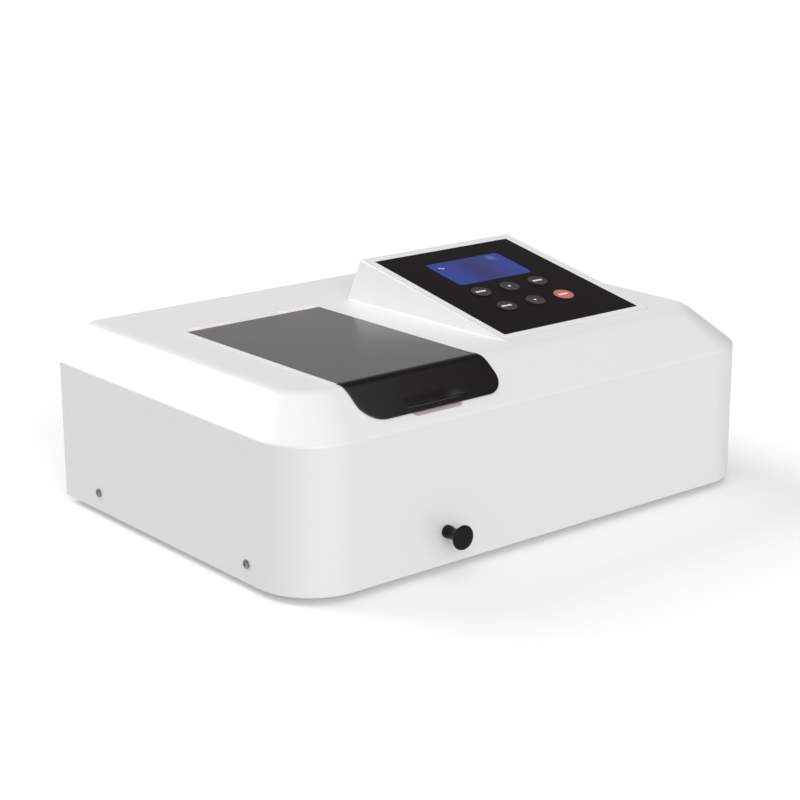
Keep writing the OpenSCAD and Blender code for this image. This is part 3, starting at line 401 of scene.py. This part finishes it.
def console_path():
    """(y, height, half width at the top) along the middle of the console, from front to back."""
    tilt, draft = CONSOLE_TILT, CONSOLE_DRAFT
    high, deep = CONSOLE_LENGTH * math.sin(tilt), CONSOLE_LENGTH * math.cos(tilt)
    sweep, edge, foot = 40.0, CONSOLE_EDGE, CONSOLE_FOOT
    lead = sweep * math.tan(tilt / 2)
    path = [(CONSOLE_FRONT - lead + sweep * math.sin(a), sweep * (1 - math.cos(a)), CONSOLE_HALF)
            for a in (tilt * i / 8 for i in range(9))]
    back = CONSOLE_FRONT + deep
    turn = math.pi / 2 + tilt - draft
    reach = edge * math.tan(turn / 2)
    middle = (back - reach * math.cos(tilt) + edge * math.sin(tilt),
              high - reach * math.sin(tilt) - edge * math.cos(tilt))
    for i in range(9):
        a = math.pi / 2 + tilt - turn * i / 8
        path.append((middle[0] + edge * math.cos(a), middle[1] + edge * math.sin(a), CONSOLE_HALF))
    grow = math.pi / 2 - draft
    reach = foot * math.tan(grow / 2)
    base = back + high * math.tan(draft) + reach
    for i in range(7):
        a = math.pi + draft + grow * i / 6
        path.append((base + foot * math.cos(a), foot + foot * math.sin(a), None))
    wide = []
    for y, h, half in path:
        spread = 0 if half else (high - h) * math.tan(draft)
        wide.append((y, max(h, 0), CONSOLE_HALF + spread * (deep + high * math.tan(draft)) / deep))
    return wide


def console_section(y, height, half):
    """One cross-section of the console: round foot, drafted wall, round edge, top."""
    draft, grow = CONSOLE_DRAFT, math.pi / 2 - CONSOLE_DRAFT
    along = max(y - CONSOLE_FRONT, 0) / (CONSOLE_LENGTH * math.cos(CONSOLE_TILT))
    out = CONSOLE_LENGTH * math.sin(CONSOLE_TILT) * math.tan(draft) * along
    reach_of = math.tan(grow / 2)
    foot = min(CONSOLE_FOOT, 0.5 * height / reach_of)
    edge = min(CONSOLE_EDGE, 0.5 * height / reach_of)
    base = max(half + height * math.tan(draft), CONSOLE_HALF + out) + foot * reach_of
    low = [(base + foot * math.cos(a), foot + foot * math.sin(a))
           for a in (-math.pi / 2 - grow * i / 4 for i in range(5))]
    top = half - edge * reach_of
    high = [(top + edge * math.cos(a), height - edge + edge * math.sin(a))
            for a in (draft + grow * i / 5 for i in range(6))]
    right = low + high
    left = [(-x, z) for x, z in reversed(right)]
    return [(CONSOLE_X + x, y, ROOF + z) for x, z in right + left]


def case_outside():
    """Closed outside of the case: walls, bands, and a roof that runs round the console."""
    rings = case_rings()
    points, faces = loft(rings)
    faces.pop()
    count = len(rings[0])
    top = (len(rings) - 1) * count
    sections = [console_section(*p) for p in console_path()]
    width, base = len(sections[0]), len(points)
    points += [p for section in sections for p in section]
    for i in range(len(sections) - 1):
        low, high = base + i * width, base + (i + 1) * width
        faces += [(low + j, low + j + 1, high + j + 1, high + j) for j in range(width - 1)]
    right = [base + i * width for i in range(len(sections))]
    left = [r + width - 1 for r in right]
    corner = count - CORNER_STEPS - 2
    ring = [top + j for j in range(count)]
    faces.append(tuple(ring[:corner] + [right[0]] + left))
    faces.append(tuple(ring[corner - 1:] + ring[:1] + [left[-1]] + right[::-1]))
    return points, faces


def case_inside():
    drop = SHELL * 0.72
    rings = [case_ring(SHELL, SHELL, CORNER - SHELL, z, DEPTH + SHELL) for z in (SKIRT - 1, WALL - drop)]
    rings.append(case_ring(SIDE_RUN + 1, FRONT_RUN + 1.1, ROOF_CORNER, ROOF - SHELL, DEPTH + SHELL))
    return loft(rings)


def console_inside():
    high, deep = CONSOLE_LENGTH * math.sin(CONSOLE_TILT), CONSOLE_LENGTH * math.cos(CONSOLE_TILT)
    half, flare = CONSOLE_HALF - SHELL, high * math.tan(CONSOLE_DRAFT)
    y, z = CONSOLE_FRONT, ROOF - 3 * SHELL
    x, rings = CONSOLE_X, []
    for along, up in ((0.0, 0.05), (deep - SHELL, high - SHELL), (deep + flare - 2 * SHELL, 0.05)):
        spread = half + flare * along / deep if up < 1 else half
        foot = half + flare * min(along / deep, 1)
        rings.append([
            (x - foot, y + along, z), (x + foot, y + along, z),
            (x + spread, y + along, ROOF - SHELL + up), (x - spread, y + along, ROOF - SHELL + up),
        ])
    return loft(rings)


def make_case():
    case = build("case_shell", case_outside())
    carve(case, case_inside())
    carve(case, console_inside())
    width, length = OPENING_X[1] - OPENING_X[0], OPENING_Y[1] - OPENING_Y[0]
    middle = (sum(OPENING_X) / 2, sum(OPENING_Y) / 2)
    seat_w = 2 * (CONSOLE_HALF - BEZEL_MARGIN)
    seat_l = CONSOLE_LENGTH - 2 * BEZEL_MARGIN
    carve(
        case,
        moved(plate(width, length, 3, -3 * SHELL, SHELL), spot(*middle, ROOF)),
        moved(rod(ROD_HOLE, -4, 8), spot(ROD_X, 0, ROD_Z) @ turned(-math.pi / 2, "X")),
        moved(plate(seat_w, seat_l, 3, -PANEL_T, 6), on_console(CONSOLE_X, CONSOLE_LENGTH / 2)),
        *[moved(rod(SCREW_HOLE, -6, 6, 24), spot(*p) @ turned(math.pi / 2, "Y")) for p in SIDE_SCREWS],
        *[moved(rod(HINGE_R + 0.45, -1.6 * KNUCKLE, 1.6 * KNUCKLE, 32), across_hinge(LID_X + x))
          for x in HINGE_PLACES],
    )
    carve(
        case,
        moved(plate(PANEL_W - 14, PANEL_L - 14, 3, -12, 0), on_console(PANEL_U, PANEL_V + PANEL_L / 2)),
        moved(dish(RECESS_W, RECESS_L, 3, RECESS_DEEP, 0.6, 4), on_band(RECESS_X, RECESS_S)),
        *[moved(plate(KNUCKLE + 0.4, 2.4, 0.2, -6, 1), spot(LID_X + x, HINGE_Y, ROOF)) for x in HINGE_PLACES],
    )
    dress(case, ("case_white", WHITE), stands_for=["top_cover"], sharp=28)


# ---- console
def make_bezel():
    """Raised white frame round the panel, with a fine gap to the case."""
    width = 2 * (CONSOLE_HALF - BEZEL_MARGIN - SEAM)
    length = CONSOLE_LENGTH - 2 * (BEZEL_MARGIN + SEAM)
    hole_w, hole_l, edge, top = PANEL_W + 0.1, PANEL_L + 0.1, 0.3, 0.3
    shift = PANEL_U - CONSOLE_X, PANEL_V + PANEL_L / 2 - CONSOLE_LENGTH / 2
    rings = [at_height(outline(width, length, 2.6), -PANEL_T)]
    for r, z in arc((0, top - edge), edge, 0, 90, 4):
        i = edge - r
        rings.append(at_height(outline(width - 2 * i, length - 2 * i, 2.6 - i), z))
    inner = [(x + shift[0], y + shift[1]) for x, y in outline(hole_w, hole_l, 1.2)]
    brim = [(x + shift[0], y + shift[1]) for x, y in outline(hole_w + 0.3, hole_l + 0.3, 1.35)]
    rings += [at_height(brim, top), at_height(inner, top - 0.15), at_height(inner, -PANEL_T)]
    bezel = build("panel_frame", moved(loft(rings, endless=True), on_console(CONSOLE_X, CONSOLE_LENGTH / 2)))
    dress(bezel, ("bezel_white", FRAME_WHITE), stands_for=["panel_bezel"])


def key_place(i):
    return PANEL_U + (i % 3 - 1) * KEY_PITCH, KEY_ROWS[i // 3]


def make_panel():
    panel = build("panel_sheet", moved(plate(PANEL_W, PANEL_L, 1.2, -PANEL_T, 0, 0.12),
                                       on_console(PANEL_U, PANEL_V + PANEL_L / 2)))
    carve(
        panel,
        moved(plate(WINDOW_W + 0.2, WINDOW_L + 0.2, 3.1, -4, 4), on_console(WINDOW_U, WINDOW_V + WINDOW_L / 2)),
        *[moved(rod(KEY_D / 2 + KEY_GAP, -4, 4, 64), on_console(*key_place(i))) for i in range(6)],
    )
    dress(panel, ("panel_black", FILM), stands_for=["key_panel"])


def display_look():
    """Blue backlight behind a clear sheet: dimmer in a band near the middle, dark round its corners, with a
    pale spot near the back that is a painted reflection.
    """
    mat = material("display_glass", (0.008, 0.010, 0.03), 0.2, grain=3.0, bump=0.001, vary=0.02,
                   Specular_IOR_Level=0.2, Emission_Strength=1.0)
    tree = mat.node_tree

    def node(kind, operation, *inputs):
        new = tree.nodes.new(kind)
        new.operation = operation
        for socket, value in zip(new.inputs, inputs):
            if isinstance(value, bpy.types.NodeSocket):
                tree.links.new(value, socket)
            else:
                socket.default_value = value
        return new

    def band(value, *stops):
        new = tree.nodes.new("ShaderNodeValToRGB")
        while len(new.color_ramp.elements) < len(stops):
            new.color_ramp.elements.new(0.5)
        for element, (position, colour) in zip(new.color_ramp.elements, stops):
            element.position, element.color = position, (*colour, 1)
        tree.links.new(value, new.inputs["Fac"])
        return new.outputs["Color"]

    place = tree.nodes.new("ShaderNodeTexCoord").outputs["Generated"]
    split = tree.nodes.new("ShaderNodeSeparateXYZ")
    tree.links.new(place, split.inputs["Vector"])
    glow = band(split.outputs["X"], (0.0, (0.020, 0.038, 0.235)), (0.24, (0.018, 0.034, 0.215)),
                (0.42, (0.017, 0.024, 0.120)), (0.56, (0.020, 0.027, 0.110)), (0.78, (0.020, 0.034, 0.200)),
                (1.0, (0.019, 0.040, 0.250)))
    half = (WINDOW_W / 2, WINDOW_L / 2, 0)
    middle = node("ShaderNodeVectorMath", "SUBTRACT", place, (0.5, 0.49, 0.5)).outputs["Vector"]
    sized = node("ShaderNodeVectorMath", "MULTIPLY", middle, (WINDOW_W, WINDOW_L, 0)).outputs["Vector"]
    aside = node("ShaderNodeVectorMath", "ABSOLUTE", sized).outputs["Vector"]
    inner = (half[0] - GLOW_MARGIN - GLOW_CORNER, half[1] - 2 * GLOW_MARGIN - GLOW_CORNER, 0)
    out = node("ShaderNodeVectorMath", "SUBTRACT", aside, inner).outputs["Vector"]
    past = node("ShaderNodeVectorMath", "MAXIMUM", out, (0, 0, 0)).outputs["Vector"]
    reach = node("ShaderNodeVectorMath", "LENGTH", past).outputs["Value"]
    scaled = node("ShaderNodeMath", "DIVIDE", reach, 2 * GLOW_CORNER).outputs["Value"]
    lit = band(scaled, (0.40, (1, 1, 1)), (0.46, (1.0, 1.0, 1.0)), (0.56, (0.06, 0.06, 0.06)))
    # a pale soft spot added to the glow: a painted reflection on the display's glass
    far = node("ShaderNodeVectorMath", "DISTANCE", sized, (half[0] * 0.66, half[1] * 0.65, 0)).outputs["Value"]
    reflection_spread = node("ShaderNodeMath", "DIVIDE", far, 8.0).outputs["Value"]
    painted_reflection = band(reflection_spread, (0.0, (0.10, 0.13, 0.13)), (0.35, (0.04, 0.055, 0.055)), (0.8, (0.0, 0.0, 0.0)))
    total = node("ShaderNodeVectorMath", "ADD", glow, painted_reflection).outputs["Vector"]
    shown = node("ShaderNodeVectorMath", "MULTIPLY", total, lit).outputs["Vector"]
    tree.links.new(shown, tree.nodes["Principled BSDF"].inputs["Emission Color"])
    return mat


def make_window():
    window = build("display_pane", moved(plate(WINDOW_W, WINDOW_L, 3, -PANEL_T, -0.2, 0.1),
                                         on_console(WINDOW_U, WINDOW_V + WINDOW_L / 2)))
    sign = joined(moved(plate(0.9, 3.2, 0.2, 0, 0.05), spot(-1.0, 0.2, 0) @ turned(0.5, "Z")),
                  moved(plate(3.0, 0.8, 0.2, 0, 0.05), spot(1.1, -1.1, 0)))
    place = on_console(WINDOW_U - WINDOW_W * 0.38, WINDOW_V + WINDOW_L * 0.76, -0.21)
    tick = build("display_tick", moved(sign, place))
    dress(tick, ("bezel_white", INK))
    dress(window, ("display_blue", display_look()), stands_for=["display_window"])


def key_shape():
    """Round cap with a soft rim and a flat dish, over a flange and a stem."""
    r = KEY_D / 2
    profile = [(0, -4), (2.4, -4), (2.4, -2.8), (r + 1, -2.8), (r + 1, -1.7), (r, -1.7)]
    profile += arc((r - 0.45, KEY_PROUD - 0.45), 0.45, 0, 90, 5)
    profile += [(r - 1.2, KEY_PROUD - 0.01), (r - 1.7, KEY_PROUD - 0.09), (r - 2.2, KEY_PROUD - 0.19)]
    profile += [(r - 2.7, KEY_PROUD - 0.245), (r - 3.2, KEY_PROUD - 0.25), (0, KEY_PROUD - 0.25)]
    return spin(profile, 72)


def bars(*widths, height=2.3, gap=0.5):
    """A row of small upright blocks, a plain mark for a key."""
    total = sum(widths) + gap * (len(widths) - 1)
    blocks, x = [], -total / 2
    for width in widths:
        block = plate(width, height, 0.15, 0, 0.05, steps=2)
        blocks.append(moved(block, spot(x + width / 2, 0, 0)))
        x += width + gap
    return joined(*blocks)


def arrow(size, way):
    points = [(-size / 2, -way * size * 0.35), (size / 2, -way * size * 0.35), (0, way * size * 0.5)]
    if way < 0:
        points.reverse()
    return loft([at_height(points, z) for z in (0, 0.05)])


KEYS = [
    ("mode", bars(2.2, 1.9, 2.1, 1.9)), ("up", arrow(3.0, 1)), ("zero", bars(2.0, 1.7, 2.0, 2.0)),
    ("print", bars(1.7, 1.6, 1.1, 1.8, 1.6)), ("down", arrow(3.0, -1)),
    ("enter", bars(1.4, 1.6, 1.4, 1.6, 1.5)),
]


def make_keys():
    for i, (name, mark) in enumerate(KEYS):
        place = on_console(*key_place(i))
        red = name == "enter"
        cap = build(name + "_cap", moved(key_shape(), place))
        look = ("key_red", KEY_RED) if red else ("key_grey", KEY_GREY)
        dress(cap, look, name + "_button", [name + "_key"])
        sign = build(name + "_mark", moved(mark, place @ spot(-0.6, 0, KEY_PROUD - 0.26)))
        dress(sign, ("bezel_white", INK), name + "_button")


# ---- lid
LID_SURFACE = LID_GAP + LID_T
BEND_Y = FRONT_RUN + CREASE * math.tan(FRONT_ANGLE / 2)
SLOPE_TOP = math.hypot(FRONT_RUN, ROOF - WALL) - CREASE * math.tan(FRONT_ANGLE / 2)
FLAT = LID_BACK - BEND_Y
BEND = (CREASE + LID_SURFACE) * FRONT_ANGLE
LID_LENGTH = FLAT + BEND + SLOPE_TOP - FLAP_END


def lid_point(x, t, w):
    """A point of the lid by its place on the unrolled sheet: t along it from the back, w above the case."""
    if t < FLAT:
        return x, LID_BACK - t, ROOF + w
    if t < FLAT + BEND:
        a = (t - FLAT) / (CREASE + LID_SURFACE)
        return x, BEND_Y - (CREASE + w) * math.sin(a), ROOF - CREASE + (CREASE + w) * math.cos(a)
    return tuple(on_band(x, SLOPE_TOP - (t - FLAT - BEND), w) @ Vector())


def ramp(value, low, high):
    """Smooth step from 0 at low to 1 at high."""
    f = min(max((value - low) / (high - low), 0), 1)
    return f * f * (3 - 2 * f)


def lean(t):
    """How far the sheet stands to the right: its roof part and its flap are a little out of line."""
    return LID_LEAN[0] + (LID_LEAN[1] - LID_LEAN[0]) * ramp(t, FLAT - 10, FLAT + BEND + 6)


def grip(x, t):
    """Depth of the finger grip: a shallow scoop, with a raised lip along its lower edge."""
    along, down = x - (ROD_X + 2), LID_LENGTH - t
    scoop = ramp(along, -27.5, -26.5) * (1 - ramp(along, 8, 28))
    scoop *= ramp(down, 5.2, 6.0) * (1 - ramp(down, 6.4, 15))
    lip = ramp(along, -27, -24) * (1 - ramp(along, 16, 30))
    lip *= ramp(down, 4.0, 4.8) * (1 - ramp(down, 5.0, 5.8))
    return 0.6 * scoop - 0.5 * lip


def lid_loop(edge, w, rows, columns):
    """Rows of the sheet at one level of its round edge. Only the outer columns close in at the corners."""
    table, inner = [], 0.6
    for step in rows:
        t = SEAL_BACK + edge + (LID_LENGTH - SEAL_BACK - 2 * edge) * step
        half = LID_W / 2 - edge - SIDE_SHEEN_STRIP * (1 - ramp(t, FLAT - 14, FLAT - 1))
        over = t - LID_LENGTH + FLAP_CORNER
        if over > 0:
            half = LID_W / 2 - FLAP_CORNER + math.sqrt(max((FLAP_CORNER - edge) ** 2 - over ** 2, 0))
        half += LID_FLARE * ramp(t, FLAT, FLAT + BEND)
        row = []
        for f in columns:
            near, far = min(abs(f), inner) * LID_W / 2, max(abs(f) - inner, 0) / (1 - inner)
            x = LID_X + lean(t) + math.copysign(near + far * (half - inner * LID_W / 2), f)
            sink = grip(x, t) if w > LID_SURFACE - 0.5 else 0
            row.append(lid_point(x, t, w - sink))
        table.append(row)
    return table


def lid_rows():
    """Steps along the sheet: few on its flat part, more round its bend, its lip and its lower corners."""
    straight = LID_LENGTH - FLAT - BEND
    places = [FLAT * i / 8 for i in range(8)] + [FLAT + BEND * i / 14 for i in range(15)]
    places += [FLAT + BEND + (straight - FLAP_CORNER) * i / 12 for i in range(1, 13)]
    corner = [LID_LENGTH - FLAP_CORNER * (1 - math.sin(math.pi / 2 * i / 36)) for i in range(1, 37)]
    places += [p for p in corner if not 3.3 < LID_LENGTH - p < 5.7]
    places += [LID_LENGTH - 3.4 - 0.2 * i for i in range(12)]
    return [p / LID_LENGTH for p in sorted(places)]


def lid_columns():
    """Places across the sheet from -1 to 1, close together at the notch."""
    notch = (ROD_X + 2 - 28.3 - LID_X) / (LID_W / 2)
    fine = [notch + 0.004 * i for i in range(-9, 10)]
    return sorted([f for f in (-1 + i / 40 for i in range(81)) if abs(f - notch) > 0.04] + fine)


def lid_sheet():
    """The lid as a closed sheet: an underside, the levels of its round edge, and an upper side."""
    rows, columns, edge = lid_rows(), lid_columns(), LID_EDGE
    levels = [(edge - edge * math.cos(a), LID_GAP + edge - edge * math.sin(a))
              for a in (math.pi / 2 * (4 - i) / 4 for i in range(5))]
    levels += [(edge - edge * math.cos(a), LID_SURFACE - edge + edge * math.sin(a))
               for a in (math.pi / 2 * i / 4 for i in range(5))]
    wide, tall = len(columns), len(rows)
    rim = [(0, j) for j in range(wide)] + [(i, wide - 1) for i in range(1, tall)]
    rim += [(tall - 1, j) for j in range(wide - 2, -1, -1)] + [(i, 0) for i in range(tall - 2, 0, -1)]
    points, faces, bases = [], [], []
    for inward, w in levels:
        bases.append(len(points))
        points += [p for row in lid_loop(inward, w, rows, columns) for p in row]
    for low, high in zip(bases, bases[1:]):
        for (a, b), (c, d) in zip(rim, rim[1:] + rim[:1]):
            faces.append((low + a * wide + b, low + c * wide + d, high + c * wide + d, high + a * wide + b))
    for base, flip in ((bases[0], False), (bases[-1], True)):
        for i in range(tall - 1):
            for j in range(wide - 1):
                k = base + i * wide + j
                quad = (k, k + 1, k + wide + 1, k + wide)
                faces.append(quad[::-1] if flip else quad)
    return points, faces


def make_lid():
    lid = build("lid_sheet", lid_sheet())
    loose = bmesh.new()
    loose.from_mesh(lid.data)
    bmesh.ops.delete(loose, geom=[v for v in loose.verts if not v.link_faces], context="VERTS")
    loose.to_mesh(lid.data)
    loose.free()
    dress(lid, ("lid_smoke", SMOKE), "lid", ["sample_lid"], sharp=40)
    dress(build("lid_light_trap", light_trap()), ("lid_smoke", SMOKE), "lid")


def light_trap():
    """Rim under the lid that reaches into the compartment's opening."""
    width, length = OPENING_X[1] - OPENING_X[0] - 2.4, OPENING_Y[1] - OPENING_Y[0] - 4.6
    middle = (sum(OPENING_X) / 2, (OPENING_Y[0] + 1.6 + OPENING_Y[1] - 3) / 2)
    top, low, wall = LID_GAP + 0.2, LID_GAP - 5, 2.0
    outside, inside = outline(width, length, 2), outline(width - 2 * wall, length - 2 * wall, 0.8)
    brim = outline(width - 0.6, length - 0.6, 1.7)
    rings = [at_height(outside, top), at_height(outside, low + 0.3), at_height(brim, low),
             at_height(inside, low), at_height(inside, top)]
    return moved(loft(rings, endless=True), spot(*middle, ROOF))


def make_seal_and_sheen():
    """Pale seal along the lid's back, and narrow pale strips along its sides that are a painted highlight on
    the lid's edges, with a notch round each fixed knuckle.
    """
    side, front = LID_W / 2, BEND_Y - 1
    corners = [(side, front), (side, LID_BACK), (-side, LID_BACK), (-side, front), (SIDE_SHEEN_STRIP - side, front),
               (SIDE_SHEEN_STRIP - side, LID_BACK - SEAL_BACK), (side - SIDE_SHEEN_STRIP, LID_BACK - SEAL_BACK),
               (side - SIDE_SHEEN_STRIP, front)]
    shape = loft([[(LID_X + LID_LEAN[0] + x, y, ROOF + z) for x, y in corners] for z in (LID_GAP, LID_SURFACE)])
    pale_strips = build("lid_seal_and_sheen", shape)
    notch = rod(HINGE_R + 0.4, -KNUCKLE / 2 - 0.3, KNUCKLE / 2 + 0.3)
    carve(pale_strips, *[moved(notch, across_hinge(LID_X + x)) for x in HINGE_PLACES])
    rounded(pale_strips, 0.25)
    dress(pale_strips, ("bezel_white", SEAL_AND_SHEEN), "lid")


def make_knuckles():
    """The lid's own knuckles, one on each side of each fixed one."""
    ends = [(PIN_R, -KNUCKLE / 2), (HINGE_R - 0.2, -KNUCKLE / 2), (HINGE_R, -KNUCKLE / 2 + 0.2),
            (HINGE_R, KNUCKLE / 2 - 0.2), (HINGE_R - 0.2, KNUCKLE / 2), (PIN_R, KNUCKLE / 2)]
    tube = loft([at_height(circle(r, 32), z) for r, z in ends], endless=True)
    places = [LID_X + x + side * (KNUCKLE + 0.3) for x in HINGE_PLACES for side in (-1, 1)]
    knuckles = joined(*[moved(tube, across_hinge(x)) for x in places])
    dress(build("lid_knuckles", knuckles), ("bezel_white", SEAL_AND_SHEEN), "lid")


# ---- knob
def make_knob():
    """Base flange, slightly waisted neck and thin round-edged disc."""
    edge = 1.5
    profile = [(0, 0.3), (KNOB_FLANGE - 0.5, 0.3)] + arc((KNOB_FLANGE - 0.5, 0.8), 0.5, -90, 0, 4)[1:]
    profile += arc((18.3, 8), 14, 196, 142, 24)
    profile += arc((KNOB_DISC - edge, KNOB_LENGTH - edge), edge, -88, 78, 16)
    profile += [(6.4, KNOB_LENGTH), (3.4, KNOB_LENGTH - 0.02), (0, KNOB_LENGTH - 0.02)]
    place = spot(ROD_X, 0, ROD_Z) @ turned(math.pi / 2, "X")
    knob = build("knob", moved(spin(profile, 72), place))
    carve(knob, moved(rod(ROD_BORE, -1, 9), place))
    dress(knob, ("knob_black", KNOB), "carriage", ["pull_knob"])


def make_recess_shade():
    """Pinkish-grey sheet on the floor of the finger recess below the flap: painted shade that darkens the
    recess.
    """
    shade_shape = plate(RECESS_W - 1.4, RECESS_L - 1.4, 2.4, -RECESS_DEEP - 0.05, -RECESS_DEEP + 0.5, 0.2)
    shade_sheet = build("recess_painted_shade", moved(shade_shape, on_band(RECESS_X, RECESS_S)))
    dress(shade_sheet, ("bezel_white", RECESS_PAINTED_SHADE))


make_case()
make_bezel()
make_panel()
make_window()
make_keys()
make_lid()
make_seal_and_sheen()
make_knuckles()
make_knob()
make_recess_shade()

# ---- finishes of the CAD nodes that stay
LOOKS = {
    "painted_grey": PAINT, "rubber_black": RUBBER, "screw_chrome": CHROME, "board_green": BOARD,
    "brass": BRASS, "cable_grey": CABLE, "steel": STEEL, "chamber_black": CHAMBER, "lens_glass": GLASS,
    "carriage_grey": CARRIAGE, "bushing_plastic": ACETAL, "cast_aluminium": CAST, "optic_black": ANODISED,
    "mirror_coat": MIRROR, "motor_grey": MOTOR, "sheet_steel": SHEET, "socket_ceramic": CERAMIC,
    "winding_amber": WINDING, "fitting_black": FITTING, "contact_metal": CONTACT, "knob_black": KNOB,
    "lid_smoke": SMOKE, "case_white": WHITE, "bezel_white": FRAME_WHITE, "panel_black": FILM,
    "display_blue": FILM, "key_grey": KEY_GREY, "key_red": KEY_RED,
}
for part in frame["record"]["subparts"]:
    node = nodes[part["node"]]
    node.data.materials.clear()
    node.data.materials.append(LOOKS[part["material_slot"]])
for name in ("lid_hinge_brackets", "lid_hinge_pins"):
    nodes[name].data.materials[0] = SEAL_AND_SHEEN


# ---- stage, light and camera
def plane(name, size):
    mesh = bpy.data.meshes.new(name)
    corners = [(-size, -size, 0), (size, -size, 0), (size, size, 0), (-size, size, 0)]
    mesh.from_pydata(corners, [], [(0, 1, 2, 3)])
    obj = bpy.data.objects.new(name, mesh)
    scene.collection.objects.link(obj)
    return obj


floor = plane("floor", 30)
floor.data.materials.append(material("floor_paper", (0.88, 0.88, 0.88), 0.9, grain=4.0, bump=0.0,
                                     Specular_IOR_Level=0.0, Emission_Color=(1, 1, 1, 1),
                                     Emission_Strength=0.16))
floor.visible_diffuse = False  # the walls take their light from the studio, not from the white paper


def sun(name, azimuth, elevation, spread, strength):
    """Soft light from far away. Azimuth 0 comes from the front, 90 from the right."""
    lamp = bpy.data.lights.new(name, "SUN")
    lamp.energy, lamp.angle = strength, math.radians(spread)
    obj = bpy.data.objects.new(name, lamp)
    a, e = math.radians(azimuth), math.radians(elevation)
    toward = Vector((math.sin(a) * math.cos(e), -math.cos(a) * math.cos(e), math.sin(e)))
    obj.rotation_mode = "QUATERNION"
    obj.rotation_quaternion = toward.to_track_quat("Z", "Y")
    scene.collection.objects.link(obj)


sun("left_front_light", -30, 25, 40, 1.6)
sun("front_light", 6, 10, 60, 0.5)
sun("top_light", 0, 85, 70, 1.06)
sun("back_left_light", -157, 36, 40, 1.68)


def make_world(bands, sides):
    """A studio round the object: pairs of a place on the unit sphere and the light there, by height
    and from left to right."""
    world = bpy.data.worlds.new("studio")
    world.use_nodes = True
    tree = world.node_tree
    split = tree.nodes.new("ShaderNodeSeparateXYZ")
    product = tree.nodes.new("ShaderNodeVectorMath")
    product.operation = "MULTIPLY"
    tree.links.new(tree.nodes.new("ShaderNodeTexCoord").outputs["Generated"], split.inputs["Vector"])
    for axis, places, socket in zip("ZX", (bands, sides), product.inputs):
        level = tree.nodes.new("ShaderNodeMapRange")
        band = tree.nodes.new("ShaderNodeValToRGB")
        level.inputs["From Min"].default_value = -1
        tree.links.new(split.outputs[axis], level.inputs["Value"])
        tree.links.new(level.outputs["Result"], band.inputs["Fac"])
        stops = band.color_ramp.elements
        for place, _ in places[1:-1]:
            stops.new((place + 1) / 2)
        for stop, (place, value) in zip(stops, places):
            stop.position, stop.color = (place + 1) / 2, (value, value, value, 1)
        tree.links.new(band.outputs["Color"], socket)
    tree.links.new(product.outputs["Vector"], tree.nodes["Background"].inputs["Color"])
    scene.world = world


make_world(((-0.08, 0.40), (0.0, 0.67), (0.28, 0.67), (0.43, 0.26), (0.66, 0.0)),
           ((0.5, 1.0), (0.72, 1.0), (0.9, 0.3), (1.0, 0.1)))

# The camera stands to the left in front, in metres from the frame's middle and the case's front face,
# and looks to the right and down, in degrees.
CAMERA_PLACE = (-0.9603, FRONT - 0.9998, 0.5168)
CAMERA_TURN, CAMERA_DIP, CAMERA_ROLL = 39.3229, 16.4064, -0.1684
aim = turned(-math.radians(CAMERA_TURN), "Z") @ turned(math.radians(90 - CAMERA_DIP), "X")
camera = bpy.data.objects.new("camera", bpy.data.cameras.new("camera"))
camera.data.lens, camera.data.sensor_width = 88.47, 36
camera.data.clip_end = 100
camera.matrix_world = spot(*CAMERA_PLACE) @ aim @ turned(math.radians(CAMERA_ROLL), "Z")
scene.collection.objects.link(camera)
scene.camera = camera
scene.view_settings.view_transform = "Standard"
